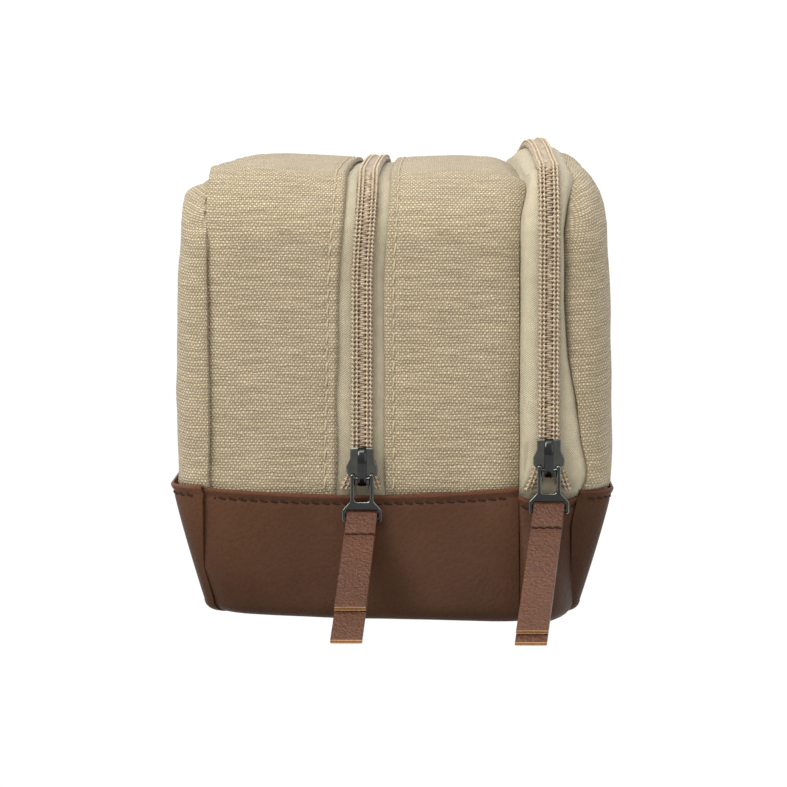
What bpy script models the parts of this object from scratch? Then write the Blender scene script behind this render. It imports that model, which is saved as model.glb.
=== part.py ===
"""Shaving kit bag: canvas upper, leather base, two U-shaped coil zips with leather pull tabs.

Metres, +Z up. The bag is long along X and stands on z = 0. Its pocket faces -Y, and the
zip sliders sit at the -X end when it is closed.
"""
import math

import bmesh
import bpy
from mathutils import Matrix, Vector

MM = 0.001
GAP = 0.3 * MM

# whole bag
HALF_LENGTH = 127 * MM
TOP_Z = 129.5 * MM
CORNER_RADIUS = 22 * MM
RIM_Z = 35.5 * MM
FOOT_Z = RIM_Z + 0.9 * MM

# stations across the bag
BACK_SEAM_Y = 54.3 * MM
BACK_BULGE = 9 * MM
MAIN_ZIP_Y = 9 * MM
MAIN_SLOT_HALF = 6.3 * MM
POCKET_SEAM_Y = -36.5 * MM
POCKET_ZIP_Y = -44.5 * MM
FRONT_SEAM_Y = -52.8 * MM
FRONT_BULGE = 10.4 * MM
SEAM_ROOM = 1.8 * MM

# leather base
BASE_TAPER = 9.5 * MM
END_TAPER = 2 * MM
BASE_ROUND = 4.5 * MM
LEATHER = 1.8 * MM
BOARD = 2 * MM

# cloth layers
CANVAS = 1.4 * MM
TAPE = 0.6 * MM
LINING = 0.8 * MM
FOAM = 2.4 * MM
TAPE_LIFT = -CANVAS - GAP
LINING_LIFT = TAPE_LIFT - TAPE - GAP
POCKET_HUMP = 4.4 * MM

# zips
COIL_RADIUS = 1.3 * MM
COIL_OFFSET = 1.45 * MM
SPREAD_START = 0.6 * MM
SPREAD_SLOPE = 0.36
SLIDER_LENGTH = 10.6 * MM
SLIDER_HALF_TOP = 3.9 * MM
SLIDER_HALF_SHOULDER = 4.4 * MM
SLIDER_HALF_TAIL = 2.6 * MM
PLATE = 1.0 * MM
MAIN_SLIDER_Z = 43.6 * MM
POCKET_SLIDER_Z = 46.7 * MM
CROWN_WIDTH = 2.8 * MM
CROWN_RISE = 2.2 * MM
CROWN_SHEET = 0.8 * MM

# pulls and tabs
PULL_SHEET = 1.3 * MM
PULL_AXIS_DROP = 3.0 * MM
PULL_TO_BAR = 12.4 * MM
PULL_LEG = 1.25 * MM
TAB_HALF_WIDTH = 4.4 * MM
TAB_PLY = 1.4 * MM
TAB_FRONT_LENGTH = 41.5 * MM
TAB_BACK_LENGTH = 54.5 * MM
TAB_LOOP_RADIUS = 1.95 * MM
TAB_TIP_Z = 0.4 * MM

COLOURS = {
    "canvas": ((0.38, 0.32, 0.23, 1), 0.9, 0),
    "lining": ((0.30, 0.26, 0.20, 1), 0.8, 0),
    "foam": ((0.75, 0.74, 0.70, 1), 0.95, 0),
    "tape": ((0.49, 0.44, 0.33, 1), 0.75, 0),
    "coil": ((0.36, 0.29, 0.20, 1), 0.35, 0),
    "leather": ((0.095, 0.045, 0.025, 1), 0.5, 0),
    "tab_leather": ((0.18, 0.075, 0.04, 1), 0.45, 0),
    "board": ((0.25, 0.18, 0.11, 1), 0.9, 0),
    "gunmetal": ((0.09, 0.09, 0.085, 1), 0.25, 1),
}


def clear_scene():
    for item in list(bpy.data.objects):
        bpy.data.objects.remove(item, do_unlink=True)


def make_collection(name):
    collection = bpy.data.collections.new(name)
    bpy.context.scene.collection.children.link(collection)
    return collection


def make_material(name, finish):
    colour, roughness, metallic = COLOURS[finish]
    material = bpy.data.materials.new(name + "_" + finish)
    material.use_nodes = True
    shader = material.node_tree.nodes["Principled BSDF"]
    shader.inputs["Base Color"].default_value = colour
    shader.inputs["Roughness"].default_value = roughness
    shader.inputs["Metallic"].default_value = metallic
    material.diffuse_color = colour
    return material


def add_piece(name, data, finish, place=(0, 0, 0)):
    piece = bpy.data.objects.new(name, data)
    piece.location = place
    BAG.objects.link(piece)
    data.materials.append(make_material(name, finish))
    return piece


def add_sheet(name, columns, rows, point, thickness, finish, offset=-1, place=(0, 0, 0)):
    """A grid laid out by point(column, row) and thickened on one side."""
    mesh = bpy.data.meshes.new(name)
    bm = bmesh.new()
    bmesh.ops.create_grid(bm, x_segments=columns, y_segments=rows, size=1)
    origin = Vector(place)
    for vertex in bm.verts:
        column = round((vertex.co.x + 1) / 2 * columns)
        row = round((vertex.co.y + 1) / 2 * rows)
        vertex.co = Vector(point(column, row)) - origin
    bm.to_mesh(mesh)
    bm.free()
    piece = add_piece(name, mesh, finish, place)
    solidify = piece.modifiers.new("Thickness", "SOLIDIFY")
    solidify.thickness = thickness
    solidify.offset = offset
    solidify.use_even_offset = True
    mesh.shade_smooth()
    return piece


def arch_route(foot, inset=0.0):
    """Points (x, z, normal) from the -X foot over the top to the +X foot."""
    half = HALF_LENGTH - inset
    top = TOP_Z - inset
    radius = CORNER_RADIUS - inset
    shoulder = top - radius
    near = [foot, foot + 2.5 * MM, foot + 5 * MM, foot + 7.6 * MM, foot + 10.5 * MM]
    near += [foot + 28 * MM, foot + 48 * MM]
    far = [shoulder - 24 * MM, foot + 20 * MM, foot]
    route = [(-half, z, Vector((-1, 0, 0))) for z in near]
    steps = 6
    for i in range(steps + 1):
        angle = math.pi / 2 * i / steps
        normal = Vector((-math.cos(angle), 0, math.sin(angle)))
        centre = -half + radius
        route.append((centre + radius * normal.x, shoulder + radius * normal.z, normal))
    spans = 4
    for i in range(1, spans):
        x = (half - radius) * (2 * i / spans - 1)
        route.append((x, top, Vector((0, 0, 1))))
    for i in range(steps, -1, -1):
        angle = math.pi / 2 * i / steps
        normal = Vector((math.cos(angle), 0, math.sin(angle)))
        centre = half - radius
        route.append((centre + radius * normal.x, shoulder + radius * normal.z, normal))
    route += [(half, z, Vector((1, 0, 0))) for z in far]
    return route


def spread(station, slider_z):
    """How far each zip half has parted from the closed line, below the slider's throat."""
    x, z, normal = station
    below = slider_z + SPREAD_START - z
    return SPREAD_SLOPE * below if below > 0 and x < 0 else 0.0


def add_arch_strip(name, section, thickness, finish, slider_z=0.0, parting=0):
    """A strip that follows the arch; section lists (y, lift) across it, towards +Y."""
    route = arch_route(FOOT_Z)

    def point(column, row):
        x, z, normal = route[column]
        y, lift = section[row]
        edge = row == (0 if parting > 0 else len(section) - 1)
        if parting and edge:
            y += parting * spread(route[column], slider_z)
        return x + normal.x * lift, y, z + normal.z * lift

    return add_sheet(name, len(route) - 1, len(section) - 1, point, thickness, finish)


def add_coil(name, zip_y, side, lift, slider_z):
    """One half of a zip's coil, as a plain bead along the arch."""
    route = arch_route(FOOT_Z)
    curve = bpy.data.curves.new(name, "CURVE")
    curve.dimensions = "3D"
    curve.bevel_depth = COIL_RADIUS
    curve.bevel_resolution = 2
    curve.use_fill_caps = True
    spline = curve.splines.new("POLY")
    spline.points.add(len(route) - 1)
    for place, station in zip(spline.points, route):
        x, z, normal = station
        y = zip_y + side * (COIL_OFFSET + spread(station, slider_z))
        place.co = (x + normal.x * lift, y, z + normal.z * lift, 1)
    return add_piece(name, curve, "coil")


def arch_height(x, half, top, radius):
    """Height of the arch outline above the floor at x."""
    past = abs(x) - (half - radius)
    if past <= 0:
        return top
    return top - radius + math.sqrt(max(radius * radius - past * past, 0))


def crown_of(t, power):
    """Puffed profile: 1 in the middle, 0 at t = -1 and 1."""
    return math.sqrt(max(1 - abs(t) ** power, 0))


def add_side_panel(name, face, seam_y, puffed, inset, thickness, finish):
    """A puffed panel with rounded top corners; face is 1 for the back and -1 for the front."""
    half = HALF_LENGTH - inset
    top = TOP_Z - inset
    radius = CORNER_RADIUS - inset
    columns = 14
    rows = 8
    foot = FOOT_Z

    def point(column, row):
        t = -face * math.sin(math.pi / 2 * (2 * column / columns - 1))
        x = half * t
        s = math.sin(math.pi / 2 * row / rows)
        z = foot + (arch_height(x, half, top, radius) - foot) * s
        puff = crown_of(t, 10) * crown_of(s, 7)
        return x, seam_y + face * puffed * puff, z

    return add_sheet(name, columns, rows, point, thickness, finish)


def base_profile(row, rows):
    """(height, inward offset as a share of the taper, inward offset of the bottom round)."""
    straight = rows - 3
    if row <= straight:
        share = row / straight
        return RIM_Z + (BASE_ROUND - RIM_Z) * share, share, 0.0
    angle = math.pi / 2 * (row - straight) / 3
    return BASE_ROUND * (1 - math.sin(angle)), 1.0, BASE_ROUND * (1 - math.cos(angle))


def add_base_side(name, face, seam_y, bulge, columns=12, rows=6):
    """The leather strip under a side panel, tapering to the bottom round."""

    def point(column, row):
        t = face * math.sin(math.pi / 2 * (2 * column / columns - 1))
        z, share, tuck = base_profile(row, rows)
        x = t * (HALF_LENGTH - END_TAPER * share - tuck)
        y = seam_y + face * (bulge * crown_of(t, 10) - BASE_TAPER * share - tuck)
        return x, y, z

    return add_sheet(name, columns, rows, point, LEATHER, "leather")


def add_base_end(name, face, edge_low, edge_high, taper_low, taper_high, rows=6):
    """A leather end piece between two y edges; face is -1 for the slider end."""
    columns = 4

    def point(column, row):
        z, share, tuck = base_profile(row, rows)
        low = edge_low + taper_low * (BASE_TAPER * share + tuck)
        high = edge_high - taper_high * (BASE_TAPER * share + tuck)
        across = column / columns if face > 0 else 1 - column / columns
        y = high + (low - high) * across
        x = face * (HALF_LENGTH - END_TAPER * share - tuck)
        return x, y, z

    return add_sheet(name, columns, rows, point, LEATHER, "leather")


def add_tub(name, low, high, low_foot, high_foot):
    """An open-topped lining tray: low/high are its rim's (x, y), the others its floor's."""
    floor_z = 2 * GAP + LEATHER + BOARD + GAP
    rim_z = RIM_Z - GAP
    mesh = bpy.data.meshes.new(name)
    bm = bmesh.new()
    bmesh.ops.create_cube(bm, size=2)
    for vertex in bm.verts:
        upper = vertex.co.z > 0
        small = low if upper else low_foot
        large = high if upper else high_foot
        vertex.co = (
            large[0] if vertex.co.x > 0 else small[0],
            large[1] if vertex.co.y > 0 else small[1],
            rim_z if upper else floor_z,
        )
    lid = [face for face in bm.faces if face.calc_center_median().z > rim_z - MM]
    bmesh.ops.delete(bm, geom=lid, context="FACES")
    bm.to_mesh(mesh)
    bm.free()
    piece = add_piece(name, mesh, "lining")
    solidify = piece.modifiers.new("Thickness", "SOLIDIFY")
    solidify.thickness = LINING
    solidify.offset = -1
    solidify.use_even_offset = True
    return piece


def outline_curve(name, loops, thickness):
    """A flat outline in the local XY plane, extruded evenly about it."""
    curve = bpy.data.curves.new(name, "CURVE")
    curve.dimensions = "2D"
    curve.fill_mode = "BOTH"
    curve.extrude = thickness / 2
    for loop in loops:
        spline = curve.splines.new("POLY")
        spline.points.add(len(loop) - 1)
        for place, (x, y) in zip(spline.points, loop):
            place.co = (x, y, 0, 1)
        spline.use_cyclic_u = True
    return curve


def mesh_from_curve(name, curve, matrix):
    """The curve's solid as a welded mesh, placed by matrix."""
    holder = bpy.data.objects.new(name + "_outline", curve)
    CUTTERS.objects.link(holder)
    bpy.context.view_layer.update()
    graph = bpy.context.evaluated_depsgraph_get()
    mesh = bpy.data.meshes.new_from_object(holder.evaluated_get(graph))
    bpy.data.objects.remove(holder, do_unlink=True)
    bm = bmesh.new()
    bm.from_mesh(mesh)
    bmesh.ops.remove_doubles(bm, verts=bm.verts, dist=0.00001)
    bmesh.ops.transform(bm, matrix=matrix, verts=bm.verts)
    bmesh.ops.recalc_face_normals(bm, faces=bm.faces)
    bm.to_mesh(mesh)
    bm.free()
    mesh.name = name
    mesh.materials.clear()
    return mesh


def end_frame(x, y, z):
    """Local (across, along, out) to world on the -X end: across = -Y, along = +Z, out = -X."""
    turn = Matrix(((0, 0, -1, 0), (-1, 0, 0, 0), (0, 1, 0, 0), (0, 0, 0, 1)))
    return Matrix.Translation((x, y, z)) @ turn


def add_base_plate(name, inset, floor_z, thickness, finish):
    """A flat plate inside the bottom edges of the leather sides and ends."""
    tuck = BASE_TAPER + BASE_ROUND + inset
    half = HALF_LENGTH - END_TAPER - BASE_ROUND - inset
    steps = 12
    back = []
    front = []
    for i in range(steps + 1):
        t = math.sin(math.pi / 2 * (2 * i / steps - 1))
        back.append((-half * t, BACK_SEAM_Y + BACK_BULGE * crown_of(t, 10) - tuck))
        front.append((half * t, FRONT_SEAM_Y - FRONT_BULGE * crown_of(t, 10) + tuck))
    stand = Matrix.Translation((0, 0, floor_z + thickness / 2))
    mesh = mesh_from_curve(name, outline_curve(name, [front + back], thickness), stand)
    return add_piece(name, mesh, finish)


def round_rect(half_x, low_y, high_y, radius, steps=3):
    """A rectangle's outline with rounded corners, counter-clockwise."""
    corners = [
        (half_x - radius, high_y - radius, 0),
        (-half_x + radius, high_y - radius, 90),
        (-half_x + radius, low_y + radius, 180),
        (half_x - radius, low_y + radius, 270),
    ]
    loop = []
    for x, y, start in corners:
        for i in range(steps + 1):
            angle = math.radians(start + 90 * i / steps)
            loop.append((x + radius * math.cos(angle), y + radius * math.sin(angle)))
    return loop


def slider_outline():
    """Half-widths down the slider: narrow head, wide shoulder, round tail."""
    half = SLIDER_LENGTH / 2
    right = [(SLIDER_HALF_TOP, half)]
    right.append((SLIDER_HALF_TOP, half * 0.45))
    right.append((SLIDER_HALF_SHOULDER, half * 0.02))
    right.append((SLIDER_HALF_SHOULDER, -half * 0.3))
    right.append((SLIDER_HALF_TAIL + 0.9 * MM, -half * 0.68))
    right.append((SLIDER_HALF_TAIL, -half))
    left = [(-x, y) for x, y in reversed(right)]
    return left + right


def add_cutter(name, frame, low, high):
    mesh = bpy.data.meshes.new(name)
    bm = bmesh.new()
    bmesh.ops.create_cube(bm, size=1)
    for vertex in bm.verts:
        share = vertex.co + Vector((0.5, 0.5, 0.5))
        vertex.co = [low[i] + (high[i] - low[i]) * share[i] for i in range(3)]
    bmesh.ops.transform(bm, matrix=frame, verts=bm.verts)
    bm.to_mesh(mesh)
    bm.free()
    cutter = bpy.data.objects.new(name, mesh)
    CUTTERS.objects.link(cutter)
    cutter.hide_render = True
    cutter.display_type = "WIRE"
    return cutter


def boolean(piece, cutter, operation):
    step = piece.modifiers.new(operation.title(), "BOOLEAN")
    step.operation = operation
    step.object = cutter


def add_slider(prefix, zip_y, slider_z, tape_lift):
    """Slider body with its coil channel, the crown over it and the lock spring under the crown."""
    surface_x = -HALF_LENGTH - tape_lift
    frame = end_frame(surface_x, zip_y, slider_z)
    plate_out = 2 * (GAP + COIL_RADIUS) + GAP
    plate_in = -TAPE - GAP
    half = SLIDER_LENGTH / 2
    depth = plate_out - plate_in + 2 * PLATE
    middle = (plate_out + plate_in) / 2
    outline = outline_curve(prefix + "_slider_body", [slider_outline()], depth)
    mesh = mesh_from_curve(prefix + "_slider_body", outline, frame @ Matrix.Translation((0, 0, middle)))
    body = add_piece(prefix + "_slider_body", mesh, "gunmetal")
    wide = 2 * SLIDER_HALF_SHOULDER
    channel = COIL_OFFSET + COIL_RADIUS + GAP
    throat = (-channel, -half - MM, plate_in), (channel, half + MM, plate_out)
    boolean(body, add_cutter(prefix + "_cut_channel", frame, *throat), "DIFFERENCE")
    slot = (-wide, -half - MM, plate_in - 0.01 * MM), (wide, half + MM, GAP)
    boolean(body, add_cutter(prefix + "_cut_tape", frame, *slot), "DIFFERENCE")
    mouth = (-wide, -half - MM, plate_in - 0.02 * MM), (wide, half * 0.08, plate_out + 0.01 * MM)
    boolean(body, add_cutter(prefix + "_cut_mouth", frame, *mouth), "DIFFERENCE")
    post = (-0.6 * MM, -half * 0.72, plate_in - PLATE / 2), (0.6 * MM, -half * 0.3, plate_out + PLATE / 2)
    boolean(body, add_cutter(prefix + "_add_post", frame, *post), "UNION")
    face_out = plate_out + PLATE + 2 * GAP
    reach = half * 0.98
    columns = 10

    def crown_point(column, row):
        t = 2 * column / columns - 1
        out = face_out + CROWN_RISE * crown_of(t, 4)
        across = CROWN_WIDTH * (row / 2 - 0.5)
        return frame @ Vector((across, reach * t, out))

    crown = add_sheet(prefix + "_slider_crown", columns, 2, crown_point, CROWN_SHEET, "gunmetal")

    def spring_point(column, row):
        along = half * (0.66 - 0.8 * column / 4)
        out = face_out + 0.9 * MM * math.sin(math.pi * column / 4)
        return frame @ Vector((0.8 * MM * (row - 1), along, out))

    spring = add_sheet(prefix + "_lock_spring", 4, 2, spring_point, 0.3 * MM, "gunmetal")
    return body, crown, spring


def pull_loops():
    """Outline, crown slot and tab slot of the flat pull; its axis is the local X axis."""
    leg = 3.6 * MM
    flare = 5.9 * MM
    tail = -PULL_TO_BAR - 0.6 * MM
    outer = [
        (leg, -0.1 * MM),
        (leg - 0.5 * MM, 0.6 * MM),
        (-leg + 0.5 * MM, 0.6 * MM),
        (-leg, -0.1 * MM),
        (-leg, -7.2 * MM),
        (-flare + 0.6 * MM, -9.0 * MM),
        (-flare, -10.2 * MM),
        (-flare + 0.1 * MM, tail + 0.5 * MM),
        (-flare + 0.6 * MM, tail),
        (flare - 0.6 * MM, tail),
        (flare - 0.1 * MM, tail + 0.5 * MM),
        (flare, -10.2 * MM),
        (flare - 0.6 * MM, -9.0 * MM),
        (leg, -7.2 * MM),
    ]
    slot = round_rect(leg - PULL_LEG, -7.2 * MM, -0.6 * MM, 0.4 * MM, 1)
    window = round_rect(TAB_HALF_WIDTH + 0.35 * MM, -PULL_TO_BAR + 0.6 * MM, -9.4 * MM, 0.3 * MM, 1)
    return [outer, slot, window]


def add_pull(prefix, axis):
    """The stamped pull, hung on the bar under the crown; axis is its hinge point."""
    name = prefix + "_pull_frame"
    turn = end_frame(0, 0, 0)
    mesh = mesh_from_curve(name, outline_curve(name, pull_loops(), PULL_SHEET), turn)
    return add_piece(name, mesh, "gunmetal", axis)


def tab_route():
    """Centre line of the folded strip, hanging down: (down, out) from the front end to the back end."""
    face = TAB_PLY / 2 + GAP / 2
    route = [(TAB_FRONT_LENGTH, face), (TAB_FRONT_LENGTH * 0.6, face), (8.5 * MM, face)]
    steps = 8
    for i in range(steps + 1):
        angle = math.pi * i / steps
        route.append((-TAB_LOOP_RADIUS * math.sin(angle), TAB_LOOP_RADIUS * math.cos(angle)))
    route += [(8.5 * MM, -face), (TAB_FRONT_LENGTH * 0.6, -face), (TAB_BACK_LENGTH, -face)]
    return route


def add_tab(prefix, bar, sway):
    """The leather tab: one strip folded over the pull's bar, leaning out to the floor."""
    route = tab_route()
    heel = TAB_PLY + GAP / 2
    reach = math.hypot(TAB_BACK_LENGTH, heel)
    lean = math.atan2(heel, TAB_BACK_LENGTH) + math.acos((bar[2] - TAB_TIP_Z) / reach)
    outward = Vector((-math.cos(lean), 0, math.sin(lean)))
    down = Vector((-math.sin(lean), 0, -math.cos(lean)))

    def point(column, row):
        along, out = route[column]
        slant = sway * max(along, 0) / TAB_BACK_LENGTH
        across = TAB_HALF_WIDTH * (row - 1) + slant
        return Vector(bar) + down * along + outward * out + Vector((0, across, 0))

    name = prefix + "_tab_strip"
    return add_sheet(name, len(route) - 1, 2, point, TAB_PLY, "tab_leather", 0, bar)


def add_divider():
    """The wall between the main compartment and the pocket."""
    inset = -LINING_LIFT + LINING + GAP
    half = HALF_LENGTH - inset
    top = TOP_Z - inset
    radius = CORNER_RADIUS - inset
    floor_z = 2 * GAP + LEATHER + BOARD + GAP
    foot = HALF_LENGTH - END_TAPER - LEATHER - 3.5 * MM
    right = [(foot, floor_z), (half - 2 * MM, RIM_Z), (half, RIM_Z + 4 * MM)]
    steps = 6
    for i in range(steps + 1):
        angle = math.pi / 2 * i / steps
        right.append((half - radius + radius * math.cos(angle), top - radius + radius * math.sin(angle)))
    left = [(-x, z) for x, z in reversed(right)]
    curve = outline_curve("divider_wall", [right + left], 1.2 * MM)
    stand = Matrix.Translation((0, POCKET_SEAM_Y + 1.6 * MM, 0)) @ Matrix.Rotation(math.pi / 2, 4, "X")
    mesh = mesh_from_curve("divider_wall", curve, stand)
    return add_piece("divider_wall", mesh, "lining")


def add_patch():
    """The blank leather patch sewn on the front panel."""
    columns, rows = 6, 3
    centre_z = 98 * MM
    half_x = 30 * MM
    half_z = 9 * MM
    foot = FOOT_Z

    def point(column, row):
        x = half_x * (2 * column / columns - 1)
        z = centre_z + half_z * (2 * row / rows - 1)
        t = x / HALF_LENGTH
        s = (z - foot) / (TOP_Z - foot)
        y = FRONT_SEAM_Y - FRONT_BULGE * crown_of(t, 10) * crown_of(s, 7) - 0.7 * MM
        return x, y, z

    return add_sheet("front_patch", columns, rows, point, 1.2 * MM, "leather", 1)


def build_base():
    add_base_side("leather_back", 1, BACK_SEAM_Y + GAP, BACK_BULGE)
    add_base_side("leather_front", -1, FRONT_SEAM_Y - GAP, FRONT_BULGE)
    main_high = BACK_SEAM_Y - SEAM_ROOM
    pocket_low = FRONT_SEAM_Y + SEAM_ROOM
    for end, face in (("near", -1), ("far", 1)):
        add_base_end("leather_" + end + "_end", face, POCKET_SEAM_Y + GAP, main_high, 0, 1)
        add_base_end("leather_pocket_" + end + "_end", face, pocket_low, POCKET_SEAM_Y - GAP, 1, 0)
    add_base_plate("leather_bottom", 3 * GAP, 0, LEATHER, "leather")
    add_base_plate("base_board", 2 * MM, LEATHER + GAP, BOARD, "board")
    wall = LEATHER + 1.6 * MM
    rim_x = HALF_LENGTH - wall - 0.6 * MM
    foot_x = HALF_LENGTH - END_TAPER - wall - 2 * MM
    seam = POCKET_SEAM_Y + 1.6 * MM
    main_low = (-rim_x, seam + MM), (rim_x, BACK_SEAM_Y - wall)
    main_foot = (-foot_x, seam + MM), (foot_x, BACK_SEAM_Y - BASE_TAPER - wall - 1.5 * MM)
    add_tub("main_lining_tray", *main_low, *main_foot)
    pocket_rim = (-rim_x, FRONT_SEAM_Y + wall), (rim_x, seam - MM)
    pocket_foot = (-foot_x, FRONT_SEAM_Y + BASE_TAPER + wall), (foot_x, seam - MM)
    add_tub("pocket_lining_tray", *pocket_rim, *pocket_foot)
    add_divider()


def build_gussets():
    main_low = MAIN_ZIP_Y - MAIN_SLOT_HALF
    main_high = MAIN_ZIP_Y + MAIN_SLOT_HALF
    back_edge = BACK_SEAM_Y - SEAM_ROOM
    under = 4.5 * MM
    edge_lift = LINING_LIFT
    add_arch_strip("middle_gusset_canvas", [(POCKET_SEAM_Y + GAP, 0), (main_low, 0)], CANVAS, "canvas")
    seam = POCKET_SEAM_Y + GAP
    add_arch_strip("middle_gusset_lining", [(seam, edge_lift), (main_low, edge_lift)], LINING, "lining")
    add_arch_strip("back_gusset_canvas", [(main_high, 0), (back_edge, 0)], CANVAS, "canvas")
    back_lining = [(main_high, edge_lift), (back_edge, edge_lift)]
    add_arch_strip("back_gusset_lining", back_lining, LINING, "lining")
    tape = TAPE_LIFT
    front_half = [(main_low - under, tape), (MAIN_ZIP_Y - GAP, tape)]
    add_arch_strip("main_zip_tape_front", front_half, TAPE, "tape", MAIN_SLIDER_Z, -1)
    back_half = [(MAIN_ZIP_Y + GAP, tape), (main_high + under, tape)]
    add_arch_strip("main_zip_tape_back", back_half, TAPE, "tape", MAIN_SLIDER_Z, 1)
    hump = TAPE_LIFT + POCKET_HUMP
    flat = SLIDER_HALF_SHOULDER + 2 * GAP
    inner = [(POCKET_ZIP_Y + GAP, hump), (POCKET_ZIP_Y + flat, hump)]
    inner += [(POCKET_SEAM_Y - GAP, -GAP)]
    add_arch_strip("pocket_zip_tape_inner", inner, TAPE, "tape", POCKET_SLIDER_Z, 1)
    outer = [(FRONT_SEAM_Y + SEAM_ROOM, -GAP), (POCKET_ZIP_Y - flat, hump), (POCKET_ZIP_Y - GAP, hump)]
    add_arch_strip("pocket_zip_tape_outer", outer, TAPE, "tape", POCKET_SLIDER_Z, -1)
    coil_lift = GAP + COIL_RADIUS
    add_coil("main_zip_coil_front", MAIN_ZIP_Y, -1, tape + coil_lift, MAIN_SLIDER_Z)
    add_coil("main_zip_coil_back", MAIN_ZIP_Y, 1, tape + coil_lift, MAIN_SLIDER_Z)
    add_coil("pocket_zip_coil_inner", POCKET_ZIP_Y, 1, hump + coil_lift, POCKET_SLIDER_Z)
    add_coil("pocket_zip_coil_outer", POCKET_ZIP_Y, -1, hump + coil_lift, POCKET_SLIDER_Z)


def build_panels():
    under_canvas = CANVAS + 2 * GAP
    under_foam = under_canvas + FOAM + 2 * GAP
    back = BACK_SEAM_Y, BACK_BULGE
    add_side_panel("back_panel_canvas", 1, *back, 0, CANVAS, "canvas")
    back = BACK_SEAM_Y + GAP, BACK_BULGE - under_canvas - GAP
    add_side_panel("back_panel_padding", 1, *back, 2 * under_canvas, FOAM, "foam")
    back = BACK_SEAM_Y - FOAM / 2, BACK_BULGE - under_foam + FOAM / 2
    add_side_panel("back_panel_lining", 1, *back, 2 * under_foam, LINING, "lining")
    front = FRONT_SEAM_Y, FRONT_BULGE
    add_side_panel("front_panel_canvas", -1, *front, 0, CANVAS, "canvas")
    front = FRONT_SEAM_Y, FRONT_BULGE - under_canvas
    add_side_panel("front_panel_lining", -1, *front, 2 * under_canvas, LINING, "lining")
    add_patch()


def build_sliders():
    rows = (
        ("main", MAIN_ZIP_Y, MAIN_SLIDER_Z, TAPE_LIFT, 3.2 * MM),
        ("pocket", POCKET_ZIP_Y, POCKET_SLIDER_Z, TAPE_LIFT + POCKET_HUMP, 6.4 * MM),
    )
    bar_out = 2 * (GAP + COIL_RADIUS) + GAP + PLATE + GAP + PULL_SHEET / 2 + 0.25 * MM
    for prefix, zip_y, slider_z, tape_lift, sway in rows:
        add_slider(prefix, zip_y, slider_z, tape_lift)
        axis = (-HALF_LENGTH - tape_lift - bar_out, zip_y, slider_z - PULL_AXIS_DROP)
        add_pull(prefix, axis)
        bar = (axis[0], axis[1], axis[2] - PULL_TO_BAR)
        add_tab(prefix, bar, sway)


clear_scene()
BAG = make_collection("shaving_kit_bag")
CUTTERS = make_collection("cutters")
build_base()
build_gussets()
build_panels()
build_sliders()
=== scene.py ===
import math

import bpy
import numpy as np
from mathutils import Matrix, Vector, noise


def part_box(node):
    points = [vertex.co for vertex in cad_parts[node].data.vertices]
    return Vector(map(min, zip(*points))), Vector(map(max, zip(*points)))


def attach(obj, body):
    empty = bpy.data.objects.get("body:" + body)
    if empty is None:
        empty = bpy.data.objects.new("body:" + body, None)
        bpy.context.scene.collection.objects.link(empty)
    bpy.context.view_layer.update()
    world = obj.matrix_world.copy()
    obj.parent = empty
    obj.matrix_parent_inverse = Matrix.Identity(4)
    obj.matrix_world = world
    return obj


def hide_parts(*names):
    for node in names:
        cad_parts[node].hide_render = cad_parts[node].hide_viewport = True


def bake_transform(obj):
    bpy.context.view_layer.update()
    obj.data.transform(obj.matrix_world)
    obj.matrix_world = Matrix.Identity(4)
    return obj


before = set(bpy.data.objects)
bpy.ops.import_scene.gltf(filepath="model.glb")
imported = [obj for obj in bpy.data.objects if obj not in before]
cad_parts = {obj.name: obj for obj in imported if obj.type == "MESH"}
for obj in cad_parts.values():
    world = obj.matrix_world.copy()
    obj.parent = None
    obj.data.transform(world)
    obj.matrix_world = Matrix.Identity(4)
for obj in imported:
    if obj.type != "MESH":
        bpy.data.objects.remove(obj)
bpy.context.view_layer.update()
mm = 0.001
bpy.context.scene.view_settings.view_transform = "Standard"

# finishes


def tone(red, green, blue):
    # a display colour, 0 to 255, as the linear colour that a shader takes
    linear = []
    for part in (red, green, blue):
        part = part / 255
        linear.append(part / 12.92 if part <= 0.04045 else ((part + 0.055) / 1.055) ** 2.4)
    return (*linear, 1)


def newFinish(name, roughness, metallic=0.0, **shaderValues):
    material = bpy.data.materials.new(name)
    material.use_nodes = True
    shader = material.node_tree.nodes["Principled BSDF"]
    shader.inputs["Roughness"].default_value = roughness
    shader.inputs["Metallic"].default_value = metallic
    for socket, value in shaderValues.items():
        shader.inputs[socket.replace("_", " ")].default_value = value
    return material, material.node_tree, shader


def addNode(tree, kind, inputs=None, **settings):
    node = tree.nodes.new(kind)
    for key, value in settings.items():
        setattr(node, key, value)
    for key, value in (inputs or {}).items():
        if isinstance(value, bpy.types.NodeSocket):
            tree.links.new(value, node.inputs[key])
        else:
            node.inputs[key].default_value = value
    return node


def calc(tree, operation, first, second=0.0, third=0.5):
    inputs = {0: first, 1: second, 2: third}
    return addNode(tree, "ShaderNodeMath", inputs, operation=operation).outputs[0]


def vectorCalc(tree, operation, inputs):
    return addNode(tree, "ShaderNodeVectorMath", inputs, operation=operation).outputs[0]


def ramp(tree, factor, stops):
    node = addNode(tree, "ShaderNodeValToRGB", {0: factor})
    elements = node.color_ramp.elements
    while len(elements) < len(stops):
        elements.new(0.5)
    for element, (place, colour) in zip(elements, stops):
        element.position = place
        element.color = colour
    return node.outputs[0]


def mixColour(tree, factor, first, second, blendType):
    inputs = {0: factor, 6: first, 7: second}
    return addNode(tree, "ShaderNodeMix", inputs, data_type="RGBA", blend_type=blendType).outputs[2]


def clothPlace(tree):
    return addNode(tree, "ShaderNodeUVMap", uv_map="weave").outputs[0]


def solidPlace(tree):
    return addNode(tree, "ShaderNodeTexCoord").outputs["Object"]


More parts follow.
